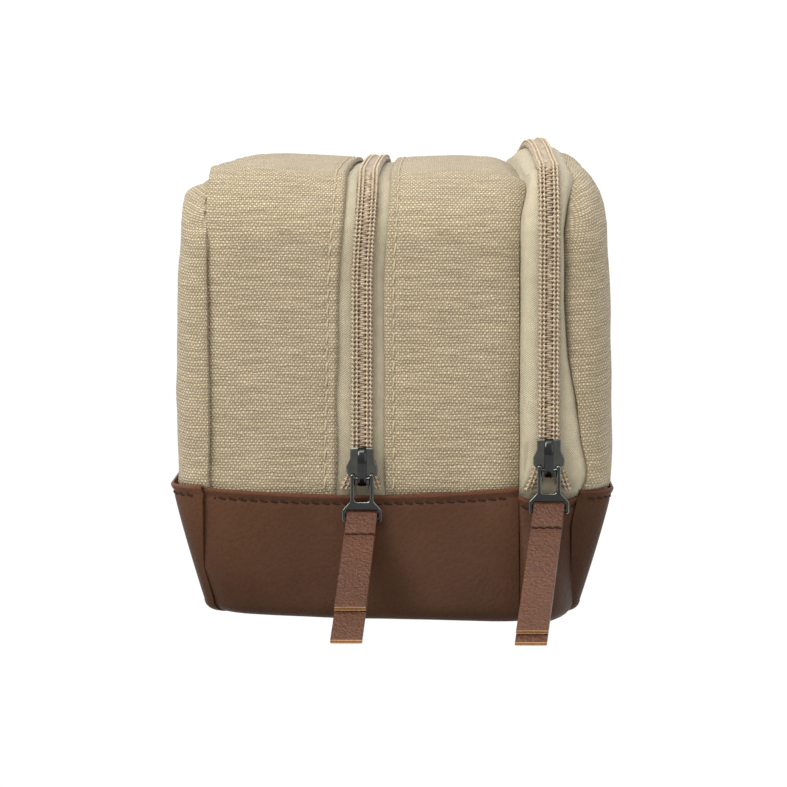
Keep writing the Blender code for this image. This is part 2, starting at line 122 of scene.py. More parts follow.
def noiseOf(tree, place, scale, detail=2.0, roughness=0.5):
    inputs = {"Vector": place, "Scale": scale, "Detail": detail, "Roughness": roughness}
    return addNode(tree, "ShaderNodeTexNoise", inputs)


def stretched(tree, place, across, along):
    return addNode(tree, "ShaderNodeMapping", {"Vector": place, "Scale": (across, along, 1)}).outputs[0]


def dress(tree, shader, colour, height, depth):
    # gives a shader its colour and its relief
    bump = addNode(tree, "ShaderNodeBump", {"Height": height, "Distance": depth})
    tree.links.new(bump.outputs[0], shader.inputs["Normal"])
    tree.links.new(colour, shader.inputs["Base Color"])


def roughen(tree, shader, factor, *stops):
    values = ramp(tree, factor, [(place, (value, value, value, 1)) for place, value in stops])
    tree.links.new(values, shader.inputs["Roughness"])


def shaded(tree, colour, share, factor, low, high):
    # the colour times a pattern that runs from one multiple to another, each given with its place
    stops = [(place, (*multiple, 1)) for place, multiple in (low, high)]
    return mixColour(tree, share, colour, ramp(tree, factor, stops), "MULTIPLY")


canvasLook = {
    "warpPitch": 0.58 * mm,
    "weftPitch": 0.82 * mm,
    "wander": 0.9 * mm,
    # the weave colours run from painted shade in the gaps between threads to painted highlight on the
    # thread crests
    "gap": tone(106, 90, 66),
    "body": tone(164, 149, 120),
    "bead": tone(206, 193, 165),
    "bumpDepth": 0.32 * mm,
}


def canvasCloth():
    look = canvasLook
    material, tree, shader = newFinish("canvas_cloth", 0.88, Sheen_Weight=0.12, Sheen_Roughness=0.5)
    place = clothPlace(tree)
    # the threads wander a little from their straight lines
    wander = noiseOf(tree, place, 420, 2).outputs["Color"]
    centred = vectorCalc(tree, "SUBTRACT", {0: wander, 1: (0.5, 0.5, 0.5)})
    shift = vectorCalc(tree, "SCALE", {0: centred, "Scale": look["wander"]})
    moved = vectorCalc(tree, "ADD", {0: place, 1: shift})
    parts = addNode(tree, "ShaderNodeSeparateXYZ", {0: moved})
    across = calc(tree, "SINE", calc(tree, "MULTIPLY", parts.outputs[0], math.pi / look["warpPitch"]))
    along = calc(tree, "SINE", calc(tree, "MULTIPLY", parts.outputs[1], math.pi / look["weftPitch"]))
    crest = calc(tree, "MULTIPLY", across, calc(tree, "SIGN", along))  # 1 where a weft thread is on top
    thread = calc(tree, "POWER", calc(tree, "ABSOLUTE", along), 0.6)
    rise = calc(tree, "POWER", calc(tree, "MULTIPLY_ADD", crest, 0.5), 0.8)
    weft = calc(tree, "MULTIPLY", thread, rise)
    under = calc(tree, "MAXIMUM", calc(tree, "MULTIPLY", crest, -1.0), 0.0)
    warp = calc(tree, "MULTIPLY", calc(tree, "POWER", under, 0.9), 0.42)
    height = calc(tree, "MAXIMUM", weft, warp)
    threadTone = noiseOf(tree, stretched(tree, place, 90, 1220), 1, 1).outputs[0]
    slub = noiseOf(tree, place, 900, 3, 0.7).outputs[0]
    # painted shade and highlight: the gaps between threads are darker and the thread crests lighter than
    # the yarn's own colour
    colour = ramp(tree, height, ((0.0, look["gap"]), (0.42, look["body"]), (1.0, look["bead"])))
    colour = shaded(tree, colour, 0.8, threadTone, (0.32, (0.72, 0.70, 0.66)), (0.68, (1.12, 1.10, 1.08)))
    colour = shaded(tree, colour, 0.55, slub, (0.34, (0.74, 0.72, 0.68)), (0.60, (1.05, 1.05, 1.05)))
    cloud = noiseOf(tree, place, 22, 2).outputs[0]
    colour = shaded(tree, colour, 0.7, cloud, (0.3, (0.94, 0.93, 0.92)), (0.7, (1.03, 1.03, 1.03)))
    relief = calc(tree, "ADD", height, calc(tree, "MULTIPLY", slub, 0.35))
    dress(tree, shader, colour, relief, look["bumpDepth"])
    return material


tapeLook = {
    "rib": 0.62 * mm,
    "light": tone(190, 179, 152),
    "dark": tone(130, 118, 93),
}


def tapeCloth():
    # fine twill: diagonal ribs crossed by the weft
    look = tapeLook
    material, tree, shader = newFinish("tape_twill", 0.75, Sheen_Weight=0.2, Sheen_Roughness=0.4)
    place = clothPlace(tree)
    parts = addNode(tree, "ShaderNodeSeparateXYZ", {0: place})
    turns = math.pi / look["rib"]
    slant = calc(tree, "ADD", parts.outputs[0], parts.outputs[1])
    rib = calc(tree, "ABSOLUTE", calc(tree, "SINE", calc(tree, "MULTIPLY", slant, turns)))
    weft = calc(tree, "ABSOLUTE", calc(tree, "SINE", calc(tree, "MULTIPLY", parts.outputs[1], turns * 1.3)))
    height = calc(tree, "ADD", calc(tree, "MULTIPLY", rib, 0.7), calc(tree, "MULTIPLY", weft, 0.3))
    # painted shade in the troughs between the ribs and painted highlight on the ribs
    colour = ramp(tree, height, ((0.15, look["dark"]), (0.75, look["light"])))
    cloud = noiseOf(tree, place, 300, 3).outputs[0]
    colour = shaded(tree, colour, 0.8, cloud, (0.3, (0.86, 0.86, 0.84)), (0.7, (1.04, 1.04, 1.04)))
    dress(tree, shader, colour, height, 0.12 * mm)
    return material


def liningCloth():
    material, tree, shader = newFinish("lining_cloth", 0.6, Sheen_Weight=0.1)
    place = solidPlace(tree)
    wave = addNode(tree, "ShaderNodeTexVoronoi", {"Vector": place, "Scale": 1400.0})
    colour = ramp(tree, wave.outputs[0], ((0.0, tone(158, 147, 126)), (0.8, tone(128, 118, 98))))
    cloud = noiseOf(tree, place, 40, 3).outputs[0]
    colour = shaded(tree, colour, 0.9, cloud, (0.3, (0.88, 0.88, 0.86)), (0.7, (1.04, 1.04, 1.04)))
    dress(tree, shader, colour, wave.outputs[0], 0.1 * mm)
    return material


def foamFinish():
    material, tree, shader = newFinish("padding_foam", 0.95)
    cells = addNode(tree, "ShaderNodeTexVoronoi", {"Vector": solidPlace(tree), "Scale": 900.0})
    # painted shade: the pits of the cells are darker than the foam's ridges
    colour = ramp(tree, cells.outputs[0], ((0.0, tone(150, 148, 140)), (0.6, tone(222, 220, 212))))
    dress(tree, shader, colour, cells.outputs[0], 0.3 * mm)
    return material


def boardFinish():
    material, tree, shader = newFinish("base_board_fibre", 0.85)
    place = solidPlace(tree)
    fibre = noiseOf(tree, stretched(tree, place, 80, 600), 1, 4).outputs[0]
    colour = ramp(tree, fibre, ((0.3, tone(120, 98, 72)), (0.7, tone(166, 142, 110))))
    dress(tree, shader, colour, fibre, 0.1 * mm)
    return material


def grained(finish, pattern, stops, depth):
    # a finish whose noise gives both its colour and its relief
    material, tree, shader = finish
    noiseOut = noiseOf(tree, solidPlace(tree), *pattern).outputs[0]
    dress(tree, shader, ramp(tree, noiseOut, stops), noiseOut, depth)
    return material


def coilFinish(light, dark):
    finish = newFinish("coil_nylon", 0.38, Coat_Weight=0.15, Coat_Roughness=0.3)
    return grained(finish, (700, 2), ((0.3, dark), (0.65, light)), 0.05 * mm)


def threadFinish(name, light, dark):
    finish = newFinish(name, 0.7, Specular_IOR_Level=0.15)
    return grained(finish, (2600, 2), ((0.3, dark), (0.65, light)), 0.1 * mm)


def rawEdgeFinish(name, light, dark):
    return grained(newFinish(name, 0.8), (1800, 4, 0.7), ((0.3, dark), (0.7, light)), 0.2 * mm)


def leatherFinish(name, look):
    material, tree, shader = newFinish(name, look["roughness"], Specular_IOR_Level=look["shine"])
    place = solidPlace(tree)
    pores = addNode(tree, "ShaderNodeTexVoronoi", {"Vector": place, "Scale": look["grainScale"]})
    fine = noiseOf(tree, place, look["grainScale"] * 2.2, 3, 0.6).outputs[0]
    broad = noiseOf(tree, place, 26, 4, 0.55).outputs[0]
    pebble = calc(tree, "MULTIPLY", pores.outputs[0], 0.7)
    grain = calc(tree, "ADD", pebble, calc(tree, "MULTIPLY", fine, 0.6))
    colour = ramp(tree, broad, ((0.28, look["dark"]), (0.72, look["light"])))
    # partly the leather's own mottle and partly painted shade and highlight: the grain's hollows are darker
    # and its crests lighter
    low, high = (0.2, look["mottleAndHollowShade"]), (0.75, look["mottleAndCrestHighlight"])
    colour = shaded(tree, colour, look["mottleAndShadeShare"], grain, low, high)
    if "paintedShadeRise" in look:  # painted shade: darker towards the floor, where the lower leather is in shade
        height = addNode(tree, "ShaderNodeSeparateXYZ", {0: place}).outputs[2]
        climb = calc(tree, "MULTIPLY", height, 1 / look["paintedShadeRise"])
        colour = shaded(tree, colour, 1.0, climb, (0.0, (0.55,) * 3), (1.0, (1.06,) * 3))
    roughen(tree, shader, fine, (0.2, look["roughness"] - 0.08), (0.8, look["roughness"] + 0.1))
    dress(tree, shader, colour, grain, look["grainDepth"])
    return material


baseLeatherLook = {
    "roughness": 0.5,
    "shine": 0.08,
    "grainScale": 900.0,
    "grainDepth": 0.16 * mm,
    # height over which the painted shade fades from the floor up
    "paintedShadeRise": 40 * mm,
    "dark": tone(66, 43, 29),
    "light": tone(84, 56, 39),
    # the grain's low and high multiples carry painted shade in the hollows and painted highlight on the
    # crests, besides the mottle
    "mottleAndHollowShade": (0.80, 0.78, 0.76),
    "mottleAndCrestHighlight": (1.08, 1.06, 1.04),
    "mottleAndShadeShare": 0.7,
}
rimLeatherLook = dict(baseLeatherLook, dark=tone(84, 53, 39), light=tone(104, 67, 50))
tabLeatherLook = {
    "roughness": 0.36,
    "shine": 0.35,
    "grainScale": 1050.0,
    "grainDepth": 0.5 * mm,
    "dark": tone(70, 41, 26),
    "light": tone(88, 54, 35),
    "mottleAndHollowShade": (0.66, 0.62, 0.60),
    "mottleAndCrestHighlight": (1.16, 1.12, 1.10),
    "mottleAndShadeShare": 0.85,
}


def gunmetalFinish(name, light, dark):
    material, tree, shader = newFinish(name, 0.18, 1.0, Coat_Weight=0.7, Coat_Roughness=0.06)
    place = solidPlace(tree)
    cloud = noiseOf(tree, place, 260, 3).outputs[0]
    colour = ramp(tree, cloud, ((0.3, dark), (0.7, light)))
    roughen(tree, shader, noiseOf(tree, place, 900, 3).outputs[0], (0.3, 0.14), (0.7, 0.24))
    dress(tree, shader, colour, cloud, 0.01 * mm)
    return material


finishes = {
    "canvas": canvasCloth(),
    "tape": tapeCloth(),
    "lining": liningCloth(),
    "foam": foamFinish(),
    "board": boardFinish(),
    "coil": coilFinish(tone(184, 163, 136), tone(122, 102, 80)),
    "canvasThread": threadFinish("canvas_thread", tone(190, 176, 149), tone(142, 128, 104)),
    "coilThread": threadFinish("coil_thread", tone(204, 188, 162), tone(152, 134, 110)),
    "leatherThread": threadFinish("leather_thread", tone(54, 33, 23), tone(34, 20, 14)),
    "leather": leatherFinish("base_leather", baseLeatherLook),
    "rim": leatherFinish("rim_leather", rimLeatherLook),
    "tab": leatherFinish("tab_leather", tabLeatherLook),
    "rawTan": rawEdgeFinish("raw_edge_tan", tone(226, 176, 134), tone(176, 128, 88)),
    "rawCore": rawEdgeFinish("raw_edge_core", tone(158, 110, 54), tone(110, 74, 34)),
    "gunmetal": gunmetalFinish("gunmetal_plate", tone(66, 66, 60), tone(50, 51, 47)),
    "blackMetal": gunmetalFinish("gunmetal_pull", tone(38, 40, 39), tone(26, 28, 27)),
    # a brighter metal for the bevel faces, a painted highlight along the edges
    "edgeHighlightMetal": gunmetalFinish("gunmetal_painted_edge_highlight", tone(128, 130, 122), tone(84, 86, 80)),
}
print("finishes made")

# the bag's driving sizes, from the frame

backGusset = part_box("back_gusset_canvas")
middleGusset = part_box("middle_gusset_canvas")
bag = {
    "half": backGusset[1].x,
    "top": backGusset[1].z,
    "foot": backGusset[0].z,
    "corner": 22 * mm,
    "rim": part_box("leather_near_end")[1].z,
    "backSeam": backGusset[1].y + 1.8 * mm,
    "pocketSeam": middleGusset[0].y,
    "frontSeam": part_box("pocket_zip_tape_outer")[0].y - 1.8 * mm,
    "slotLow": middleGusset[1].y,
    "slotHigh": backGusset[0].y,
}
mainZipY = (bag["slotLow"] + bag["slotHigh"]) / 2
pocketZipY = (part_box("pocket_zip_coil_inner")[0].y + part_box("pocket_zip_coil_outer")[1].y) / 2
archSide = bag["top"] - bag["corner"] - bag["foot"]
archBend = bag["corner"] * math.pi / 2
archTotal = 2 * (archSide + archBend + bag["half"] - bag["corner"])


def archAt(run):
    # x, z and the outward normal's x and z at a run along the arch from the slider end's foot
    run = np.asarray(run, float)
    back = np.minimum(run, archTotal - run)
    side = np.where(run < archTotal / 2, -1.0, 1.0)
    angle = np.clip((back - archSide) / bag["corner"], 0, math.pi / 2)
    past = np.clip(back - archSide - archBend, 0, None)
    x = bag["half"] - bag["corner"] * (1 - np.cos(angle)) - past
    z = bag["foot"] + np.minimum(back, archSide) + bag["corner"] * np.sin(angle)
    return side * x, z, side * np.cos(angle), np.sin(angle)


def onArch(run, y, lift):
    # points beside the arch line, with the outward directions there
    x, z, outX, outZ = archAt(run)
    level = np.zeros(len(run))
    points = np.stack([x + outX * lift, level + y, z + outZ * lift], 1)
    return points, np.stack([outX, level, outZ], 1)


def smooth(value, low, high):
    share = np.clip((value - low) / (high - low), 0, 1)
    return share * share * (3 - 2 * share)


settleLook = {"sag": 2.4 * mm, "pocketRise": 3.0 * mm, "zipDrift": 1.5 * mm, "slotSpread": 1.7 * mm}


def settled(points):
    # how a filled bag sets: its top crowns at mid-length and the main zip wanders
    look = settleLook
    points = np.array(points, float)
    x, y, z = points[..., 0], points[..., 1], points[..., 2]
    high = smooth(z, bag["top"] - 40 * mm, bag["top"])
    climb = np.clip((z - bag["foot"]) / (bag["top"] - bag["foot"]), 0, 1)
    spread = np.clip(np.abs(x) / bag["half"], 0, 1) ** 2
    overPocket = smooth(-y, 34 * mm, 46 * mm)
    nearMain = np.exp(-(((y - mainZipY) / (24 * mm)) ** 2))
    nearSlot = np.exp(-(((y - bag["slotHigh"] - 3 * mm) / (5 * mm)) ** 2))
    drift = look["zipDrift"] * nearMain * smooth(climb, 0.62, 1)
    points[..., 1] = y - drift + look["slotSpread"] * nearSlot * (1 - climb)
    sag = look["sag"] * (1 - 0.85 * smooth(y, 18 * mm, 44 * mm))
    points[..., 2] = z + high * (look["pocketRise"] * overPocket * (1 - spread) - sag * spread)
    return points


# mesh building


def unit(vectors):
    return vectors / np.maximum(np.linalg.norm(vectors, axis=-1, keepdims=True), 1e-12)


def addMesh(name, verts, faces, finishNames, uv=None, faceFinish=None, sharp=50):
    mesh = bpy.data.meshes.new(name)
    mesh.from_pydata(np.asarray(verts, float).tolist(), [], [list(map(int, f)) for f in faces])
    for finish in finishNames:
        mesh.materials.append(finishes[finish])
    if faceFinish is not None:
        mesh.polygons.foreach_set("material_index", np.asarray(faceFinish, np.int32))
    if uv is not None:
        corners = np.zeros(len(mesh.loops), np.int32)
        mesh.loops.foreach_get("vertex_index", corners)
        layer = mesh.uv_layers.new(name="weave")
        layer.data.foreach_set("uv", np.asarray(uv, np.float32)[corners].ravel())
    mesh.shade_smooth()
    mesh.set_sharp_from_angle(angle=math.radians(sharp))
    mesh.validate()
    piece = bpy.data.objects.new(name, mesh)
    bpy.context.scene.collection.objects.link(piece)
    return piece


def gridNormals(grid):
    return unit(np.cross(np.gradient(grid, axis=1), np.gradient(grid, axis=0)))


def quadsOf(index):
    return np.stack([index[:-1, :-1], index[:-1, 1:], index[1:, 1:], index[1:, :-1]], -1).reshape(-1, 4)


def ringQuads(index):
    ahead = np.roll(index, -1, axis=1)
    return np.stack([index[:-1], ahead[:-1], ahead[1:], index[1:]], -1).reshape(-1, 4).tolist()


def endCaps(index):
    return [index[0, ::-1].tolist(), index[-1].tolist()]


def roughened(grid, facing, amount, scale, seed):
    # soft lumps and slack along the cloth's own normal
    normals = gridNormals(grid) * facing
    flat = grid.reshape(-1, 3)
    lumps = np.array([noise.noise(Vector(p) * scale + Vector((seed, 0, 0))) for p in flat])
    return grid + normals * lumps.reshape(grid.shape[:2])[..., None] * amount


def standFor(node):
    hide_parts(node)


def sheetParts(grid, thickness, facing):
    # an outer face, an inner face and the edge between them
    rows, columns = grid.shape[:2]
    normals = gridNormals(grid) * facing
    verts = np.concatenate([grid.reshape(-1, 3), (grid - normals * thickness).reshape(-1, 3)])
    index = np.arange(rows * columns).reshape(rows, columns)
    outer = quadsOf(index)
    inner = quadsOf(index + rows * columns)[:, ::-1]
    loop = np.concatenate([index[0, :-1], index[:-1, -1], index[-1, :0:-1], index[:0:-1, 0]])
    ahead = np.roll(loop, -1)
    shell = rows * columns
    edge = np.stack([loop, loop + shell, ahead + shell, ahead], -1)
    faces = np.concatenate([outer, inner, edge])
    if facing < 0:
        faces = faces[:, ::-1]
    across = np.linalg.norm(np.diff(grid, axis=1), axis=2)
    along = np.linalg.norm(np.diff(grid, axis=0), axis=2)
    u = np.concatenate([np.zeros((rows, 1)), np.cumsum(across, 1)], 1)
    u = u - u[:, columns // 2 : columns // 2 + 1]
    v = np.concatenate([np.zeros((1, columns)), np.cumsum(along, 0)], 0)
    uv = np.stack([u, v], -1).reshape(-1, 2)
    return verts, faces, np.concatenate([uv, uv])


def addSheet(name, grid, thickness, facing, finish):
    verts, faces, uv = sheetParts(grid, thickness, facing)
    return addMesh(name, verts, faces, [finish], uv)


def tubeParts(points, radii, guides, sides):
    points = np.asarray(points, float)
    tangents = unit(np.gradient(points, axis=0))
    first = unit(guides - tangents * np.sum(guides * tangents, 1, keepdims=True))
    second = np.cross(tangents, first)
    turn = 2 * math.pi * np.arange(sides) / sides
    radii = np.broadcast_to(radii, len(points))
    rings = points[:, None] + radii[:, None, None] * (
        np.cos(turn)[None, :, None] * first[:, None] + np.sin(turn)[None, :, None] * second[:, None]
    )
    index = np.arange(len(points) * sides).reshape(len(points), sides)
    return rings.reshape(-1, 3), ringQuads(index) + endCaps(index)


def joinParts(parts):
    verts, faces, start = [], [], 0
    for partVerts, partFaces in parts:
        verts.append(np.asarray(partVerts))
        faces += [[i + start for i in face] for face in partFaces]
        start += len(partVerts)
    return np.concatenate(verts), faces


def resample(points, guides, step):
    points = np.asarray(points, float)
    lengths = np.concatenate([[0], np.cumsum(np.linalg.norm(np.diff(points, axis=0), axis=1))])
    stations = np.arange(0, lengths[-1], step)
    even = np.stack([np.interp(stations, lengths, points[:, i]) for i in range(3)], 1)
    evenGuides = np.stack([np.interp(stations, lengths, guides[:, i]) for i in range(3)], 1)
    return even, unit(evenGuides), stations


def addStitches(name, points, guides, look, finish):
    # a thread that rises from the cloth once per stitch and dips back through it
    even, up, stations = resample(points, guides, look["pitch"] / 8)
    phase = (stations / look["pitch"]) % 1
    rise = np.sin(math.pi * np.clip(phase / look["fill"], 0, 1)) ** 0.5
    lift = np.where(phase < look["fill"], rise * look["rise"], -look["sink"])
    along = unit(np.gradient(even, axis=0))
    slant = np.cross(along, up) * ((phase - 0.5) * look["slant"])[:, None]
    path = even + up * lift[:, None] + slant
    verts, faces = tubeParts(path, look["radius"], np.cross(along, up), 6)
    return addMesh(name, verts, faces, [finish], sharp=80)


# canvas gussets

gussetLook = {
    "thickness": 1.0 * mm,
    "lining": 0.5 * mm,
    "liningDepth": 2.9 * mm,
    "hem": 0.9 * mm,
    "stitchInset": 2.8 * mm,
    "stitchDip": 0.28 * mm,
    "runStep": 2.0 * mm,
    "tuck": 4 * mm,
    "lump": 0.5 * mm,
}
edgeStitch = dict(pitch=4.2 * mm, fill=0.66, rise=0.1 * mm, sink=0.8 * mm, radius=0.3 * mm, slant=0.5 * mm)


def gussetLift(up, y, slot, seam, drop, side):
    look = gussetLook
    fromSlot = np.abs(y - slot)
    hem = -1.1 * mm * np.clip(1 - fromSlot / look["hem"], 0, 1) ** 2
    dip = -look["stitchDip"] * np.exp(-(((fromSlot - look["stitchInset"]) / (0.7 * mm)) ** 2))
    width = abs(seam - slot)
    toSeam = np.clip((fromSlot - width + 7 * mm) / (7 * mm), 0, 1)
    fall = (side + (drop - side) * up) * toSeam**2.2
    swell = 0.7 * mm * np.sin(math.pi * np.clip(fromSlot / width, 0, 1)) * (0.3 + 0.7 * up)
    return hem + dip + swell - fall


def gussetColumns(slot, seam):
    width = abs(seam - slot)
    steps = [0, 0.25, 0.55, 0.9, 1.5, 2.1, 2.5, 2.8, 3.1, 3.5, 4.2, 5.4, 7]
    near = np.array(steps) * mm
    far = np.linspace(8.8 * mm, width - 4 * mm, 13)
    last = width - np.array([3.2, 2.4, 1.7, 1.0, 0.4, 0]) * mm
    return slot + math.copysign(1, seam - slot) * np.concatenate([near, far, last])


def archGrid(runs, ys, lift):
    x, z, outX, outZ = archAt(runs)
    grid = np.zeros((len(runs), len(ys), 3))
    grid[..., 0] = x[:, None] + outX[:, None] * lift
    grid[..., 1] = ys[None]
    grid[..., 2] = z[:, None] + outZ[:, None] * lift
    return grid


def canvasRuns(tuck):
    # stations along the arch, which start and end tucked below its feet
    return np.linspace(-tuck, archTotal + tuck, round((archTotal + 2 * tuck) / gussetLook["runStep"]))


def cornerPinch(runs):
    outX, up = archAt(runs)[2:]
    bend = np.degrees(np.arctan2(up, np.abs(outX)))
    return 2.0 * mm * np.exp(-(((bend - 62) / 26) ** 2))


def gussetGrid(slot, seam, drop, side, depth=0.0):
    runs = canvasRuns(gussetLook["tuck"])
    ys = gussetColumns(slot, seam)
    if seam < slot:
        ys = ys[::-1]
    up = archAt(runs)[3][:, None]
    lift = gussetLift(up, ys[None], slot, seam, drop, side) - depth
    tucked = np.minimum(runs, archTotal - runs)[:, None]
    lift = lift - 1.2 * mm * smooth(-tucked, -1.5 * mm, 1.5 * mm)
    if seam > slot:  # the back edge turns down behind the panel
        hang = np.array((0.6, 2.2, 4.4, 6.8)) * mm
        ys = np.concatenate([ys, [seam + 0.15 * mm, seam + 0.2 * mm, seam + 0.1 * mm, seam - 0.1 * mm]])
        lift = np.concatenate([lift, lift[:, -1:] - hang[None] * np.clip(up, 0.03, 1)], 1)
    grid = archGrid(runs, ys, lift)
    if seam < slot:  # the pocket's edge leans over the zip tape at the bends
        lean = cornerPinch(runs)[:, None] * smooth(-grid[..., 1], -seam - 9 * mm, -seam)
        grid[..., 1] -= lean
    return settled(roughened(grid, -1, gussetLook["lump"], 55, seam * 90))


def slotStitches(name, slot, seam, drop, side):
    runs = np.linspace(0.6 * mm, archTotal - 0.6 * mm, 320)
    y = slot + math.copysign(gussetLook["stitchInset"], seam - slot)
    points, guides = onArch(runs, y, gussetLift(archAt(runs)[3], y, slot, seam, drop, side))
    lumps = np.array([noise.noise(Vector(p) * 55 + Vector((seam * 90, 0, 0))) for p in points])
    path = settled(points + guides * lumps[:, None] * gussetLook["lump"])
    return addStitches(name, path, guides, edgeStitch, "canvasThread")


def hingeBlend(piece):
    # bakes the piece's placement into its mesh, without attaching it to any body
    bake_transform(piece)


gussetRows = {
    "back_gusset": {
        "slot": bag["slotHigh"],
        "seam": bag["backSeam"] - 0.6 * mm,
        "drop": 0.2 * mm,
        "side": 2.0 * mm,
    },
    "middle_gusset": {
        "slot": bag["slotLow"],
        "seam": bag["pocketSeam"] + 0.1 * mm,
        "drop": 2.6 * mm,
        "side": 2.0 * mm,
    },
}
for gussetName, spec in gussetRows.items():
    outerGrid = gussetGrid(**spec)
    canvas = addSheet(gussetName + "_cloth", outerGrid, gussetLook["thickness"], -1, "canvas")
    standFor(gussetName + "_canvas")
    liningGrid = gussetGrid(**spec, depth=gussetLook["liningDepth"])
    lining = addSheet(gussetName + "_inner_cloth", liningGrid, gussetLook["lining"], -1, "lining")
    standFor(gussetName + "_lining")
    stitches = slotStitches(gussetName + "_edge_stitches", **spec)
    for piece in (canvas, lining, stitches):
        if gussetName == "back_gusset":
            hingeBlend(piece)
        else:
            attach(piece, "base")
print("gussets sewn")

# puffed side panels

# how far the front panel's rolled edge laps over the pocket tape, in mm, by share of height
pocketLap = (
    *((0, -1.8), (0.03, -2.8), (0.07, -3.2), (0.15, -1.3), (0.3, 0.7), (0.42, 3.1)),
    *((0.6, 4.3), (0.82, 4.6), (0.91, 3.2), (0.97, 1.6), (1, 1.2)),
)
panelLook = {
    "back": {
        "face": 1,
        "seam": bag["backSeam"],
        "bulge": 8.8 * mm,
        "belly": 2.4 * mm,
        "slimming": 0.17,
        "rollSide": 10 * mm,
        "rollTop": 9 * mm,
        "overSide": 0.2 * mm,
        "overTop": -4.8 * mm,
        "root": -30.0,
        "footTuck": 3.4 * mm,
        "lap": ((0, 1.0), (1, 1.2)),
    },
    "front": {
        "face": -1,
        "seam": bag["frontSeam"],
        "bulge": 10.4 * mm,
        "belly": 2.0 * mm,
        "slimming": 0.1,
        "rollSide": 12 * mm,
        "rollTop": 17 * mm,
        "overSide": 2.0 * mm,
        "overTop": -0.8 * mm,
        "root": -46.0,
        "footTuck": 4.6 * mm,
        "lap": pocketLap,
    },
}


def outlineInset(x, z):
    # how far inside the arch outline a point is, and the outline's outward direction there
    flat = bag["half"] - bag["corner"]
    shoulder = bag["top"] - bag["corner"]
    pastX = np.abs(x) - flat
    pastZ = z - shoulder
    reach = np.hypot(np.maximum(pastX, 0), np.maximum(pastZ, 0))
    inCorner = (pastX > 0) & (pastZ > 0)
    sideInset = bag["half"] - np.abs(x)
    topInset = bag["top"] - z
    inset = np.where(inCorner, bag["corner"] - reach, np.minimum(sideInset, topInset))
    fromSide = sideInset < topInset
    outX = np.where(inCorner, pastX / np.maximum(reach, 1e-9), np.where(fromSide, 1.0, 0.0))
    outZ = np.where(inCorner, pastZ / np.maximum(reach, 1e-9), np.where(fromSide, 0.0, 1.0))
    return np.maximum(inset, 0), outX * np.sign(x), outZ


def panelGrid(look, foot):
    edge = 1 - np.cos(np.linspace(0, math.pi / 2, 16))
    edgeRun = edge * 26 * mm
    middle = np.linspace(-bag["half"] + 28 * mm, bag["half"] - 28 * mm, 72)
    xs = np.concatenate([-bag["half"] + edgeRun, middle, (bag["half"] - edgeRun)[::-1]])
    nearTop = 1 - 0.26 * (1 - np.sin(np.linspace(0, math.pi / 2, 18)))
    rise = np.concatenate([np.linspace(0, 0.72, 30), nearTop])
    flat = bag["half"] - bag["corner"]
    past = np.maximum(np.abs(xs) - flat, 0)
    tops = bag["top"] - bag["corner"] + np.sqrt(np.maximum(bag["corner"] ** 2 - past**2, 0))
    x = np.broadcast_to(xs, (len(rise), len(xs)))
    z = foot + (tops[None] - foot) * rise[:, None]
    inset, outX, outZ = outlineInset(x, z)
    up = np.clip(outZ, 0, 1)
    roll = look["rollSide"] + (look["rollTop"] - look["rollSide"]) * up
    over = look["overSide"] + (look["overTop"] - look["overSide"]) * up
    share = np.clip(inset / roll, 0, 1) ** 0.85
    root = look["root"]
    angle = np.radians(root + (90 - root) * share)
    height = np.clip((z - bag["foot"]) / (bag["top"] - bag["foot"]), 0, 1)
    lap = np.interp(height, *np.array(look["lap"]).T) * mm
    fold = np.where(lap > 0, -0.45 * lap, -lap)
    tail = np.where(lap > 0, 0.55 * lap, 0.8 * mm) / math.sin(math.radians(-root))
    bulge = look["bulge"] * (1 - look["slimming"] * smooth(height, 0.48, 0.86))
    inward = roll - (roll + over) * np.cos(angle)
    slide = np.where(inset < roll, inset - inward, 0)
    out = fold + np.where(angle > 0, (bulge - fold) * np.sin(angle), tail * np.sin(angle))
    midLength = np.clip(1 - (x / bag["half"]) ** 2, 0, 1)
    belly = look["belly"] * midLength * np.sin(math.pi * np.clip(height + 0.15, 0, 1))
    grid = np.zeros((*x.shape, 3))
    grid[..., 0] = x + outX * slide
    grid[..., 1] = look["seam"] + look["face"] * (out + belly * np.clip(inset / roll, 0, 1))
    grid[..., 2] = z + outZ * slide
    return grid


layerLook = {"foamDepth": 1.3 * mm, "foam": 2.2 * mm, "foamTrim": 13, "liningTrim": 15, "lining": 0.5 * mm}
liningDepths = {"back": 4.0 * mm, "front": 1.5 * mm}


def shellLayer(grid, facing, depth, trim):
    # the same shape further in, cut back from the seams
    inner = grid - gridNormals(grid) * facing * depth
    return inner[2:-trim, trim:-trim]


